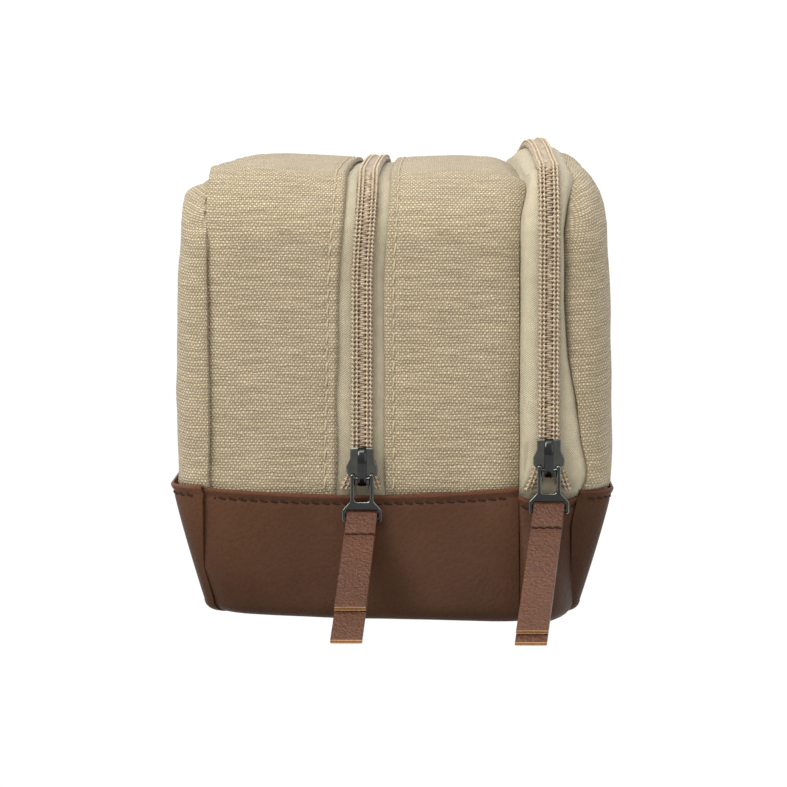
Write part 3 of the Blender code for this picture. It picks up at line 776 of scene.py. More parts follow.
for side, look in panelLook.items():
    facing = -look["face"]
    grid = roughened(panelGrid(look, bag["foot"] - 3 * mm), facing, 0.9 * mm, 30, look["face"] * 3.1)
    grid = roughened(grid, facing, 0.35 * mm, 95, look["face"] * 7.7)
    low = np.clip((bag["foot"] + 1.6 * mm - grid[..., 2]) / (3 * mm), 0, 1)
    grid[..., 1] -= look["face"] * low * 1.3 * mm
    atEnds = smooth(np.abs(grid[..., 0]), bag["half"] - 14 * mm, bag["half"])
    grid[..., 0] -= np.sign(grid[..., 0]) * low * atEnds * look["footTuck"]
    grid = settled(grid)
    canvas = addSheet(side + "_panel_cloth", grid, gussetLook["thickness"], facing, "canvas")
    standFor(side + "_panel_canvas")
    layers = [canvas]
    if side == "back":
        layer = shellLayer(grid, facing, layerLook["foamDepth"], layerLook["foamTrim"])
        padding = addSheet("back_panel_foam", layer, layerLook["foam"], facing, "foam")
        standFor("back_panel_padding")
        layers.append(padding)
    layer = shellLayer(grid, facing, liningDepths[side], layerLook["liningTrim"])
    lining = addSheet(side + "_panel_inner_cloth", layer, layerLook["lining"], facing, "lining")
    standFor(side + "_panel_lining")
    layers.append(lining)
    for layer in layers:
        hingeBlend(layer)
    panelLook[side]["grid"] = grid
print("panels puffed")

# zips

sliderZ = {
    "main": sum(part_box("main_slider_body"), Vector()).z / 2,
    "pocket": sum(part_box("pocket_slider_body"), Vector()).z / 2,
}
tapeLift = {"main": -1.7 * mm, "pocket": 2.7 * mm}
zipY = {"main": mainZipY, "pocket": pocketZipY}
# the pocket zip's crest above the arch, in mm, by the arch's bend in degrees, and its rise at mid-length
pocketCrest = ((0, 2.7), (25, 2.8), (45, 3.2), (60, 3.2), (75, 0.8), (90, -0.6))
pocketCrown = 1.8 * mm
pocketReach = pocketZipY - bag["frontSeam"]


def zipLift(zipName, runs):
    # how far a tape's crest stands off the arch along its run
    x, z, outX, up = archAt(runs)
    if zipName == "main":
        return np.full(len(runs), tapeLift[zipName])
    bend = np.degrees(np.arctan2(up, np.abs(outX)))
    flat = np.clip(1 - np.abs(x) / (bag["half"] - bag["corner"]), 0, 1)
    tucked = 3.6 * mm * (1 - smooth(np.minimum(runs, archTotal - runs), -2 * mm, 3.5 * mm))
    return np.interp(bend, *np.array(pocketCrest).T) * mm + pocketCrown * (1 - (1 - flat) ** 2) - tucked


def partingAt(zipName, runs):
    z = archAt(runs)[1]
    below = sliderZ[zipName] + 0.6 * mm - z
    return np.where(runs < archSide, 0.36 * np.clip(below, 0, None), 0)


def tapeGrid(zipName, side, section):
    runs = canvasRuns(3 * mm)
    distance = np.array([row[0] for row in section])
    drop = np.array([row[1] for row in section])
    if side < 0:
        distance, drop = distance[::-1], drop[::-1]
    crest = zipLift(zipName, runs)[:, None]
    lift = crest - drop[None]
    away = np.broadcast_to(distance[None], lift.shape)
    if zipName == "pocket":
        # the skirt keeps its depth where the crest rises, and its width follows the canvas beside it
        skirt = smooth(drop, 0.5 * mm, 4 * mm)[None]
        lift = lift * (1 - skirt) + (tapeLift[zipName] - drop[None]) * skirt
        height = (archAt(runs)[1] - bag["foot"]) / (bag["top"] - bag["foot"])
        if side < 0:
            room = pocketReach + 0.5 * mm - np.interp(height, *np.array(pocketLap).T) * mm
        else:
            room = pocketReach - cornerPinch(runs)
        scale = (room - 3 * mm) / (pocketReach - 3 * mm)
        away = np.where(distance > 3 * mm, 3 * mm + (distance - 3 * mm) * scale[:, None], distance)
    grid = archGrid(runs, zipY[zipName] + side * distance, lift)
    near = 1 - smooth(distance, 3 * mm, 8 * mm)
    grid[..., 1] = zipY[zipName] + side * (away + partingAt(zipName, runs)[:, None] * near[None])
    return settled(roughened(grid, -1, 0.25 * mm, 80, side * 5.3))


# a tape's cross-section in mm: (distance from the zip's centre, drop below the crest)
mainSection = (
    *((0.25, 0.15), (0.7, 0), (1.6, 0), (2.6, 0.02), (3.4, 0), (4.3, -0.12)),
    *((5.2, -0.1), (6.1, 0.05), (7.2, 0.25), (8.6, 0.3), (10.4, 0.3)),
)
innerSection = (
    *((0.25, 0.15), (0.7, 0), (1.6, 0), (2.8, 0), (3.7, 0.02), (4.6, 0.12), (5.5, 0.4)),
    *((6.3, 1.0), (7.0, 1.9), (7.4, 2.9), (7.8, 4.3), (8.3, 5.8), (9.4, 6.4)),
)
outerSection = (
    *((0.25, 0.15), (0.7, 0), (1.6, 0), (2.8, 0), (3.7, 0.02), (4.8, 0.1), (6.0, 0.35)),
    *((6.9, 0.9), (7.6, 1.8), (8.1, 2.9), (8.5, 4.2), (9.2, 5.6), (10.2, 6.0)),
)
tapeRows = {
    "main_zip_tape_front": ("main", -1, mainSection, "base"),
    "main_zip_tape_back": ("main", 1, mainSection, "back_shell"),
    "pocket_zip_tape_inner": ("pocket", 1, innerSection, "base"),
    "pocket_zip_tape_outer": ("pocket", -1, outerSection, "front_shell"),
}


def placeOnShell(piece, shell):
    if shell == "base":
        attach(piece, "base")
    else:
        hingeBlend(piece)


for node, (zipName, side, section, shell) in tapeRows.items():
    grid = tapeGrid(zipName, side, np.array(section) * mm)
    tape = addSheet(node + "_cloth", grid, 0.45 * mm, -1, "tape")
    standFor(node)
    placeOnShell(tape, shell)

coilLook = {
    "pitch": 1.3 * mm,
    "wire": 0.37 * mm,
    "head": -0.6 * mm,
    "tail": 2.95 * mm,
    "low": 0.35 * mm,
    "high": 1.95 * mm,
    "points": 12,
    "sides": 5,
    "threadAt": (1.4 * mm, 2.45 * mm),
    "cordAt": 1.55 * mm,
    "cordRadius": 0.62 * mm,
}


def coilHalf(name, zipName, side):
    look = coilLook
    count = int(archTotal / look["pitch"]) - 1
    offset = 0.5 * look["pitch"] * (1 if side > 0 else 2)
    step = np.arange(count * look["points"])
    turn = step / look["points"]
    phase = (turn % 1) * 2 * math.pi
    across = np.sign(np.cos(phase)) * np.abs(np.cos(phase)) ** 0.75
    rise = np.sign(np.sin(phase)) * np.abs(np.sin(phase)) ** 0.55
    lowerHalf = np.clip((turn % 1 - 0.5) * 2, 0, 1)
    run = (np.floor(turn) + lowerHalf) * look["pitch"] + offset
    middle = (look["head"] + look["tail"]) / 2
    reach = (look["tail"] - look["head"]) / 2
    lateral = middle - across * reach
    height = (look["low"] + look["high"]) / 2 + rise * (look["high"] - look["low"]) / 2
    y = zipY[zipName] + side * (lateral + partingAt(zipName, run))
    points, out = onArch(run, y, zipLift(zipName, run) + height)
    radii = look["wire"] * (1 + 0.3 * smooth(across, 0.6, 1.0))
    guides = out[:, ::-1] * (1, 0, -1)
    wire = tubeParts(settled(points), radii, guides, look["sides"])
    # the cord that the wire is wound round
    run = np.arange(0.5 * mm, archTotal - 0.5 * mm, 1.6 * mm)
    y = zipY[zipName] + side * (look["cordAt"] + partingAt(zipName, run))
    points = onArch(run, y, zipLift(zipName, run) + 1.1 * mm)[0]
    across = np.tile((0.0, 1.0, 0.0), (len(run), 1))
    verts, faces = joinParts([wire, tubeParts(settled(points), look["cordRadius"], across, 8)])
    return addMesh(name, verts, faces, ["coil"], sharp=90)


def coilThread(name, zipName, side):
    # two rows of lock stitches that hold the coil to its tape
    look = coilLook
    parts = []
    for at in look["threadAt"]:
        run = np.arange(0.5 * mm, archTotal - 0.5 * mm, look["pitch"] / 6)
        phase = (run - 0.5 * look["pitch"] * (1 if side > 0 else 2)) / look["pitch"]
        over = look["high"] + 0.42 * mm + 0.14 * mm * np.cos(2 * math.pi * phase)
        swing = 0.14 * mm * np.sin(2 * math.pi * phase)
        y = zipY[zipName] + side * (at + partingAt(zipName, run)) + swing
        points = onArch(run, y, zipLift(zipName, run) + over)[0]
        guides = np.tile((0.0, 1.0, 0.0), (len(run), 1))
        radii = 0.27 * mm * (1 + 0.4 * np.cos(2 * math.pi * phase))
        parts.append(tubeParts(settled(points), radii, guides, 5))
    verts, faces = joinParts(parts)
    return addMesh(name, verts, faces, ["coilThread"], sharp=90)


coilRows = {
    "main_zip_coil_front": ("main", -1, "base"),
    "main_zip_coil_back": ("main", 1, "back_shell"),
    "pocket_zip_coil_inner": ("pocket", 1, "base"),
    "pocket_zip_coil_outer": ("pocket", -1, "front_shell"),
}
for node, (zipName, side, shell) in coilRows.items():
    coil = coilHalf(node + "_teeth", zipName, side)
    standFor(node)
    thread = coilThread(node + "_thread", zipName, side)
    placeOnShell(coil, shell)
    placeOnShell(thread, shell)


def addZipEnd(zipName):
    # the folded tape end that closes the gap below a zip's slider
    runs = np.linspace(-3 * mm, sliderZ[zipName] - bag["foot"] + 4 * mm, 12)
    ys = zipY[zipName] + np.linspace(-7, 7, 15) * mm
    depth = 0.9 * mm + 0.5 * mm * np.cos(np.linspace(-1, 1, 15) * math.pi)
    grid = archGrid(runs, ys, zipLift(zipName, runs)[:, None] - depth[None])
    flap = addSheet(zipName + "_zip_end_fold", settled(grid), 0.4 * mm, -1, "tape")
    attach(flap, "base")


for zipName in ("main", "pocket"):
    addZipEnd(zipName)
print("zips wound")

# leather base

baseLook = {
    "thickness": 1.6 * mm,
    "taper": 9.2 * mm,
    "endTaper": 0.2 * mm,
    "round": 3.6 * mm,
    "rimSag": 2.2 * mm,
    "stitchDrop": 2.7 * mm,
}
baseStitch = dict(pitch=3.0 * mm, fill=0.72, rise=0.12 * mm, sink=0.6 * mm, radius=0.3 * mm, slant=0.7 * mm)


def baseRows(top):
    # heights from the rim down to the bottom round, the taper's share and the tuck of the round
    rimSteps = np.array([0, 0.4, 0.9, 1.4, 2.0, 2.4, 2.7, 3.0, 3.5]) * mm
    straight = np.concatenate([rimSteps, np.linspace(4.6 * mm, top - baseLook["round"], 16)])
    angles = np.linspace(0, math.pi / 2, 9)[1:]
    z = np.concatenate([top - straight, baseLook["round"] * (1 - np.sin(angles))])
    share = np.concatenate([straight / (top - baseLook["round"]), np.ones(8)])
    tuck = np.concatenate([np.zeros(len(straight)), baseLook["round"] * (1 - np.cos(angles))])
    return z, share, tuck


def rimRelief(top, z):
    # the turned rim stands proud, with the stitch line sunk below it
    below = top - z
    proud = 0.55 * mm * np.clip(1 - below / (1.9 * mm), 0, 1) ** 0.5
    lip = 0.9 * mm * np.clip(1 - below / (0.5 * mm), 0, 1) ** 2
    return proud - lip - 0.22 * mm * np.exp(-(((below - baseLook["stitchDrop"]) / (0.6 * mm)) ** 2))


# where the end pieces' outer edges run: out from the seam at the rim, how far they turn in, and the share
# of the height where the turn starts and stops
endEdges = {"back": (1.5 * mm, 2.8 * mm, 0.7, 1.0), "front": (1.4 * mm, 2.2 * mm, 0.0, 0.3)}


def edgeOut(side, share):
    start, turnIn, low, high = endEdges[side]
    return start - turnIn * np.clip((share - low) / (high - low), 0, 1)


def sideBase(side, face, seam, bulge, top):
    z, share, tuck = baseRows(top)
    rootOut = edgeOut(side, share) + baseLook["taper"] * share**1.15 + 0.2 * mm
    roll = 9 * mm
    rootAngle = np.arcsin(np.clip(rootOut / bulge, 0, 0.95))
    steps = np.linspace(0, 1, 12)
    halfAt = bag["half"] - baseLook["endTaper"] * share - tuck
    columns = []
    for i in range(len(z)):
        angle = rootAngle[i] + (math.pi / 2 - rootAngle[i]) * steps
        inward = roll - (roll + 0.3 * mm) * np.cos(angle)
        out = bulge * np.sin(angle)
        crease = 0.8 * mm * np.clip(1 - steps * 5, 0, 1)
        endX = halfAt[i] - inward
        middle = np.linspace(-halfAt[i] + roll, halfAt[i] - roll, 64)[1:-1]
        x = np.concatenate([-endX, middle, endX[::-1]])
        flatOut = np.full(len(middle), bulge)
        outs = np.concatenate([out - crease, flatOut, (out - crease)[::-1]])
        relief = rimRelief(top, z[i])
        y = seam + face * (outs - baseLook["taper"] * share[i] ** 1.15 - tuck[i] + relief * np.ones(len(x)))
        columns.append(np.stack([x, y, np.full(len(x), z[i])], 1))
    return np.array(columns)


def endBase(face, part, top, proud, slump):
    # the end's leather is two pieces, and each meets a side at one edge and the other piece at its seam
    z, share, tuck = baseRows(top)
    if part == "main":
        lows = np.full(len(z), bag["pocketSeam"] + 0.15 * mm)
        highs = bag["backSeam"] + edgeOut("back", share) - tuck
        roundLow, roundHigh = 0.25, 1
    else:
        lows = bag["frontSeam"] - edgeOut("front", share) + tuck
        highs = np.full(len(z), bag["pocketSeam"] + 1.1 * mm)
        roundLow, roundHigh = 1, 0.25
    middle = np.linspace(0.16, 0.84, 22)[1:-1]
    across = np.concatenate([np.linspace(0, 0.16, 9), middle, np.linspace(0.84, 1, 9)])
    shape = 1 - across**1.9 if part == "main" else np.sin(0.75 * math.pi * across**0.75)
    grid = np.zeros((len(z), len(across), 3))
    for i in range(len(z)):
        low, high = lows[i], highs[i]
        y = low + (high - low) * across
        fromLow, fromHigh = y - low, high - y
        crease = np.exp(-fromLow / (0.9 * mm)) + np.exp(-fromHigh / (0.9 * mm))
        crease *= (1.0 - 0.8 * min(share[i] * 2.2, 1)) * mm
        if part == "pocket":  # its seam edge goes behind the main piece
            crease += 3.0 * mm * np.exp(-((fromHigh / (1.0 * mm)) ** 2))
        bend = (0.6 + 4.4 * share[i]) * mm
        rounding = roundHigh * bend * np.clip(1 - fromHigh / (9 * mm), 0, 1) ** 2.2
        rounding += roundLow * bend * np.clip(1 - fromLow / (9 * mm), 0, 1) ** 2.2
        swell = (proud + slump * share[i] ** 1.2) * shape
        x = bag["half"] - baseLook["endTaper"] * share[i] - tuck[i] + rimRelief(top, z[i])
        x = x + swell - rounding - crease
        sag = baseLook["rimSag"] * (1 - (2 * across - 1) ** 2) * np.clip(1 - share[i] * 1.4, 0, 1)
        grid[i] = np.stack([face * x, y, z[i] - sag], 1)
    return roughened(grid, face, 0.35 * mm, 60, lows[0] * 200)


def addLeather(name, node, grid, facing):
    verts, faces, uv = sheetParts(grid, baseLook["thickness"], facing)
    rimRows = 2
    columns = grid.shape[1]
    faceFinish = np.zeros(len(faces), int)
    faceFinish[: rimRows * (columns - 1)] = 1
    edgeStart = 2 * (grid.shape[0] - 1) * (columns - 1)
    faceFinish[edgeStart : edgeStart + columns - 1] = 1
    piece = addMesh(name, verts, faces, ["leather", "rim"], uv, faceFinish)
    standFor(node)
    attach(piece, "base")
    return piece


def rimStitches(name, grid, facing):
    row = np.argmin(np.abs(grid[0, 0, 2] - grid[:, 0, 2] - baseLook["stitchDrop"]))
    normals = gridNormals(grid)[row] * facing
    trimmed = slice(2, -2)
    stitches = addStitches(name, grid[row][trimmed], normals[trimmed], baseStitch, "leatherThread")
    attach(stitches, "base")


leatherRows = {
    "leather_back": (sideBase("back", 1, bag["backSeam"], 10.4 * mm, bag["rim"] + 2.1 * mm), 1),
    "leather_front": (sideBase("front", -1, bag["frontSeam"], 10.8 * mm, bag["rim"] + 1.0 * mm), -1),
}
for end, face, slump in (("near", -1, 13.0 * mm), ("far", 1, 8.0 * mm)):
    mainGrid = endBase(face, "main", bag["rim"] + 1.7 * mm, 0.5 * mm, slump)
    pocketGrid = endBase(face, "pocket", bag["rim"] - 0.2 * mm, 1.2 * mm, 1.25 * slump)
    leatherRows["leather_" + end + "_end"] = (mainGrid, -face)
    leatherRows["leather_pocket_" + end + "_end"] = (pocketGrid, -face)
for node, (grid, facing) in leatherRows.items():
    addLeather(node + "_skin", node, grid, facing)
    rimStitches(node + "_stitches", grid, facing)
print("leather base sewn")

# sliders, pulls and tabs


def endPlace(x, y, z):
    # local across, along and out on the slider end: across = -Y, along = +Z, out = -X
    turn = Matrix(((0, 0, -1, 0), (-1, 0, 0, 0), (0, 1, 0, 0), (0, 0, 0, 1)))
    return Matrix.Translation((x, y, z)) @ turn


def roundedLoop(corners, steps=5):
    # corners are (x, y, radius); each becomes an arc tangent to its two sides
    loop = []
    count = len(corners)
    for i, (x, y, radius) in enumerate(corners):
        here = Vector((x, y))
        before = (Vector(corners[i - 1][:2]) - here).normalized()
        after = (Vector(corners[(i + 1) % count][:2]) - here).normalized()
        if radius <= 0:
            loop.append((x, y))
            continue
        opening = before.angle(after)
        reach = radius / math.tan(opening / 2)
        centre = here + (before + after).normalized() * (radius / math.sin(opening / 2))
        start = here + before * reach - centre
        end = here + after * reach - centre
        startAngle = math.atan2(start.y, start.x)
        sweep = math.atan2(end.y, end.x) - startAngle
        sweep = (sweep + math.pi) % (2 * math.pi) - math.pi
        for k in range(steps + 1):
            angle = startAngle + sweep * k / steps
            loop.append((centre.x + radius * math.cos(angle), centre.y + radius * math.sin(angle)))
    return loop


def mirrored(half):
    # a closed outline from one half of it
    return half + [(-x, y, radius) for x, y, radius in reversed(half)]


def addPlate(name, loops, thickness, bevel, place, finish):
    # a stamped plate with rounded edges, cast from a filled outline
    curve = bpy.data.curves.new(name, "CURVE")
    curve.dimensions = "2D"
    curve.fill_mode = "BOTH"
    curve.extrude = thickness / 2 - bevel
    curve.bevel_depth = bevel
    curve.bevel_resolution = 3
    curve.offset = -bevel
    for loop in loops:
        spline = curve.splines.new("POLY")
        spline.points.add(len(loop) - 1)
        for spot, (x, y) in zip(spline.points, loop):
            spot.co = (x, y, 0, 1)
        spline.use_cyclic_u = True
    holder = bpy.data.objects.new(name + "_outline", curve)
    bpy.context.scene.collection.objects.link(holder)
    bpy.context.view_layer.update()
    mesh = bpy.data.meshes.new_from_object(holder.evaluated_get(bpy.context.evaluated_depsgraph_get()))
    bpy.data.objects.remove(holder, do_unlink=True)
    mesh.materials.clear()
    mesh.materials.append(finishes[finish])
    mesh.materials.append(finishes["edgeHighlightMetal"])
    # the bevel faces take the brighter metal: a painted highlight along the plate's edges
    tilt = np.zeros(len(mesh.polygons) * 3)
    mesh.polygons.foreach_get("normal", tilt)
    tilt = np.abs(tilt.reshape(-1, 3)[:, 2])
    mesh.polygons.foreach_set("material_index", ((tilt > 0.5) & (tilt < 0.97)).astype(np.int32))
    mesh.transform(place)
    mesh.name = name
    mesh.shade_smooth()
    mesh.set_sharp_from_angle(angle=math.radians(35))
    piece = bpy.data.objects.new(name, mesh)
    bpy.context.scene.collection.objects.link(piece)
    return piece


def strapParts(stations, across, halfWidth, thickness, roundness):
    # a strap along stations (place, out): one grid of faces wrapped round its section
    section = []
    flat = halfWidth - roundness
    for side, out in ((1, 1), (-1, -1)):
        widths = np.linspace(-flat, flat, 5) * side
        section += [(w, out * thickness / 2) for w in widths]
        for k in (1, 2):
            bend = math.pi * k / 3
            width = side * (flat + roundness * math.sin(bend))
            section.append((width, out * thickness / 2 * math.cos(bend)))
    rings = []
    for place, out in stations:
        rings.append([place + across * w + out * t for w, t in section])
    rings = np.array(rings)
    index = np.arange(rings.shape[0] * len(section)).reshape(-1, len(section))
    return rings.reshape(-1, 3), ringQuads(index) + endCaps(index)


sliderLook = {
    "length": 10.8 * mm,
    "head": 3.45 * mm,
    "shoulder": 4.5 * mm,
    "tail": 2.7 * mm,
    "plate": 1.1 * mm,
    "bevel": 0.42 * mm,
    "platesOut": 3.5 * mm,
    "crownHalf": 1.3 * mm,
    "crownPower": 2.6,
    "crownRise": 2.3 * mm,
    "crownSheet": 0.85 * mm,
}


def sliderLoop():
    look = sliderLook
    half, head, shoulder, tail = look["length"] / 2, look["head"], look["shoulder"], look["tail"]
    return roundedLoop(mirrored([
        (head, half, 0.5 * mm),
        (head, half * 0.42, 1.6 * mm),
        (shoulder, half * 0.02, 1.8 * mm),
        (shoulder, -half * 0.34, 1.6 * mm),
        (tail + 0.4 * mm, -half * 0.72, 1.0 * mm),
        (tail, -half, 0.9 * mm),
    ]))


def flangeLoop(side):
    length = sliderLook["length"]
    corners = [
        (3.05 * mm, length * 0.47, 0.1 * mm),
        (3.05 * mm, length * 0.16, 0.6 * mm),
        (3.6 * mm, -length * 0.08, 0.1 * mm),
        (4.15 * mm, -length * 0.06, 0.1 * mm),
        (4.15 * mm, length * 0.06, 0.5 * mm),
        (3.42 * mm, length * 0.2, 0.6 * mm),
        (3.42 * mm, length * 0.47, 0.1 * mm),
    ]
    return roundedLoop([(side * x, y, radius) for x, y, radius in corners[::-side]], 3)


def addBand(name, rows, place, halfWidth, thickness, roundness, finish):
    # a metal band through rows of (along, out) on the slider's middle plane
    turn = place.to_3x3()
    across = np.array(turn @ Vector((1, 0, 0)))
    points = np.array([place @ Vector((0, along, out)) for along, out in rows])
    outs = unit(np.cross(unit(np.gradient(points, axis=0)), across))
    if outs[len(outs) // 2] @ np.array(turn @ Vector((0, 0, 1))) < 0:
        outs = -outs
    verts, faces = strapParts(list(zip(points, outs)), across, halfWidth, thickness, roundness)
    return addMesh(name, verts, faces, [finish], sharp=40)


def addSlider(prefix):
    look = sliderLook
    plate, out = look["plate"], look["platesOut"]
    centre = endPlace(-bag["half"] - tapeLift[prefix], zipY[prefix], sliderZ[prefix])

    def addPart(part, loop, thickness, bevel, partOut):
        place = centre @ Matrix.Translation((0, 0, partOut))
        return addPlate(prefix + "_slider_" + part, [loop], thickness, bevel, place, "gunmetal")

    topPlate = addPart("top_plate", sliderLoop(), plate, look["bevel"], out + plate / 2)
    pieces = [topPlate, addPart("back_plate", sliderLoop(), 0.9 * mm, 0.3 * mm, -1.5 * mm)]
    for side, sideName in ((-1, "low"), (1, "high")):
        loop = flangeLoop(side)
        pieces.append(addPart("flange_" + sideName, loop, 2.6 * mm, 0.12 * mm, out - 1.1 * mm))
    crownRows = []
    for t in np.linspace(-1, 1, 25):
        arch = math.sqrt(1 - abs(t * 0.999) ** look["crownPower"])
        crownRows.append((t * look["length"] * 0.485, out + plate * 0.6 + look["crownRise"] * arch))
    size = (look["crownHalf"], look["crownSheet"], 0.35 * mm)
    crown = addBand(prefix + "_slider_bridge", crownRows, centre, *size, "blackMetal")
    lockRows = []
    for t in np.linspace(0, 1, 9):
        arch = 0.85 * mm * math.sin(math.pi * t)
        lockRows.append(((0.33 - 0.4 * t) * look["length"], out + plate + arch + 0.15 * mm))
    size = (0.8 * mm, 0.28 * mm, 0.12 * mm)
    lock = addBand(prefix + "_slider_lock", lockRows, centre, *size, "gunmetal")
    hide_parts(prefix + "_slider_body")
    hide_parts(prefix + "_slider_crown")
    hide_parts(prefix + "_lock_spring")
    for piece in [*pieces, crown, lock]:
        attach(piece, prefix + "_slider")


pullLook = {
    "sheet": 1.35 * mm,
    "bevel": 0.42 * mm,
    "leg": 1.25 * mm,
    "legOut": 3.4 * mm,
    "flare": 5.8 * mm,
    "toBar": 12.4 * mm,
}


def addPull(prefix):
    look = pullLook
    low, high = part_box(prefix + "_pull_frame")
    bar = Vector(((low.x + high.x) / 2, zipY[prefix], high.z - 0.6 * mm))
    leg, flare = look["legOut"], look["flare"]
    inner, window = leg - look["leg"], flare - 1.35 * mm
    neck, tail = inner - 0.15 * mm, -look["toBar"] - 0.5 * mm
    outer = roundedLoop(mirrored([
        (-neck, 0.1 * mm, 0.3 * mm),
        (-neck, 1.0 * mm, 0.62 * mm),
        (-leg, 1.0 * mm, 0.62 * mm),
        (-leg, -6.8 * mm, 0.9 * mm),
        (-flare, -9.4 * mm, 1.2 * mm),
        (-flare, tail, 0.75 * mm),
        (-flare + 1.5 * mm, tail, 0.7 * mm),
        (-flare + 1.5 * mm, tail + 1.1 * mm, 0.2 * mm),
    ]))
    slot = roundedLoop(mirrored([(-inner, -0.7 * mm, 0.4 * mm), (-inner, -7.0 * mm, 0.8 * mm)]), 4)
    eye = roundedLoop(mirrored([(-window, -9.5 * mm, 0.3 * mm), (-window, -11.5 * mm, 0.25 * mm)]), 3)
    name, loops = prefix + "_pull_ring", [outer, slot, eye]
    pull = addPlate(name, loops, look["sheet"], look["bevel"], endPlace(*bar), "blackMetal")
    standFor(prefix + "_pull_frame")
    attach(pull, prefix + "_pull")
    return bar - Vector((0, 0, look["toBar"]))


tabLook = {
    "halfWidth": 4.45 * mm,
    "ply": 1.35 * mm,
    "gap": 0.3 * mm,
    "front": {"main": 41.5 * mm, "pocket": 51.5 * mm},
    "back": 54.5 * mm,
    "loop": 1.95 * mm,
    "tip": 0.4 * mm,
    "sway": {"main": 3.2 * mm, "pocket": 6.4 * mm},
    "stitchAt": 8.6 * mm,
}
tabStitch = dict(pitch=2.3 * mm, fill=0.78, rise=0.12 * mm, sink=0.5 * mm, radius=0.34 * mm, slant=0.6 * mm)


def tabRoute(look, prefix):
    # one strip from the front ply's cut end, round the ring, to the back ply's: (down, out) of its middle
    centre = look["ply"] / 2 + look["gap"] / 2
    straight, loopEnd = 8.6 * mm, 7.4 * mm

    def opening(along):  # the plies part towards the ring
        return centre + (look["loop"] - centre) * (1 - along / straight) ** 0.8

    route = [(along, centre) for along in np.linspace(look["front"][prefix], straight, 24)]
    route += [(along, opening(along)) for along in np.linspace(loopEnd, 1.4 * mm, 5)]
    for angle in np.linspace(0, math.pi, 13):
        route.append((-look["loop"] * math.sin(angle), look["loop"] * math.cos(angle)))
    route += [(along, -opening(along)) for along in np.linspace(1.4 * mm, loopEnd, 5)]
    route += [(along, -centre) for along in np.linspace(straight, look["back"], 28)]
    return np.array(route), centre


def addTab(prefix, bar):
    look = tabLook
    heel = 1.4 * mm + 0.15 * mm
    reach = math.hypot(look["back"], heel)
    lean = math.atan2(heel, look["back"]) + math.acos((bar.z - look["tip"]) / reach)
    out = np.array((-math.cos(lean), 0, math.sin(lean)))
    down = np.array((-math.sin(lean), 0, -math.cos(lean)))
    across = np.array((0, 1.0, 0))
    sway = look["sway"][prefix] / look["back"]
    flat, centre = tabRoute(look, prefix)
    curl = 0.35 * mm * np.sin(flat[:, 0] / look["back"] * 2.4 * math.pi) * (flat[:, 0] > 10 * mm)
    steps = unit(np.gradient(flat, axis=0))
    # levels through the thickness: skin, core and skin, so that the cut ends show all three
    levels = np.array([0.5, 0.24, -0.24, -0.5]) * look["ply"]
    widths = np.linspace(-1, 1, 9)
    grid = np.zeros((len(flat), len(widths), len(levels), 3))
    for i, (along, lift) in enumerate(flat):
        place = np.array(bar) + down * along + out * (lift + curl[i]) + across * sway * max(along, 0)
        normal = down * steps[i][1] - out * steps[i][0]
        for j, w in enumerate(widths):
            atEdge = abs(w) == 1
            side = across * w * look["halfWidth"] * (0.98 if atEdge else 1)
            for k, level in enumerate(levels):
                soften = 0.86 if atEdge and k in (0, 3) else 1
                grid[i, j, k] = place + side + normal * level * soften
    index = np.arange(grid.size // 3).reshape(grid.shape[:3])
    faces, faceFinish = [], []

    def wrap(block, flip, finish):
        for quad in quadsOf(block):
            faces.append(quad[::-1].tolist() if flip else quad.tolist())
            faceFinish.append(finish)

    wrap(index[:, :, 0], False, 0)
    wrap(index[:, :, -1], True, 0)
    for k, endFinish in enumerate((1, 2, 1)):
        wrap(index[:, 0, k : k + 2], True, 0)
        wrap(index[:, -1, k : k + 2], False, 0)
        wrap(index[0, :, k : k + 2], False, endFinish)
        wrap(index[-1, :, k : k + 2], True, endFinish)
    skins = ["tab", "rawTan", "rawCore"]
    tab = addMesh(prefix + "_tab_leather", grid.reshape(-1, 3), faces, skins, None, faceFinish, sharp=40)
    standFor(prefix + "_tab_strip")
    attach(tab, prefix + "_tab")
    face = np.array(bar) + down * look["stitchAt"] + out * (centre + look["ply"] / 2 + 0.05 * mm)
    widths = np.linspace(-0.96, 0.96, 12)[:, None] * look["halfWidth"] + sway * look["stitchAt"]
    guides = np.tile(out, (12, 1))
    path = face + across * widths
    stitches = addStitches(prefix + "_tab_stitches", path, guides, tabStitch, "leatherThread")
    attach(stitches, prefix + "_tab")


for prefix in ("main", "pocket"):
    addSlider(prefix)
    addTab(prefix, addPull(prefix))
print("sliders and tabs hung")

# patch, and the CAD pieces that stay inside

patchLook = {"halfX": 30 * mm, "lowZ": 89 * mm, "highZ": 107 * mm, "thickness": 1.1 * mm}


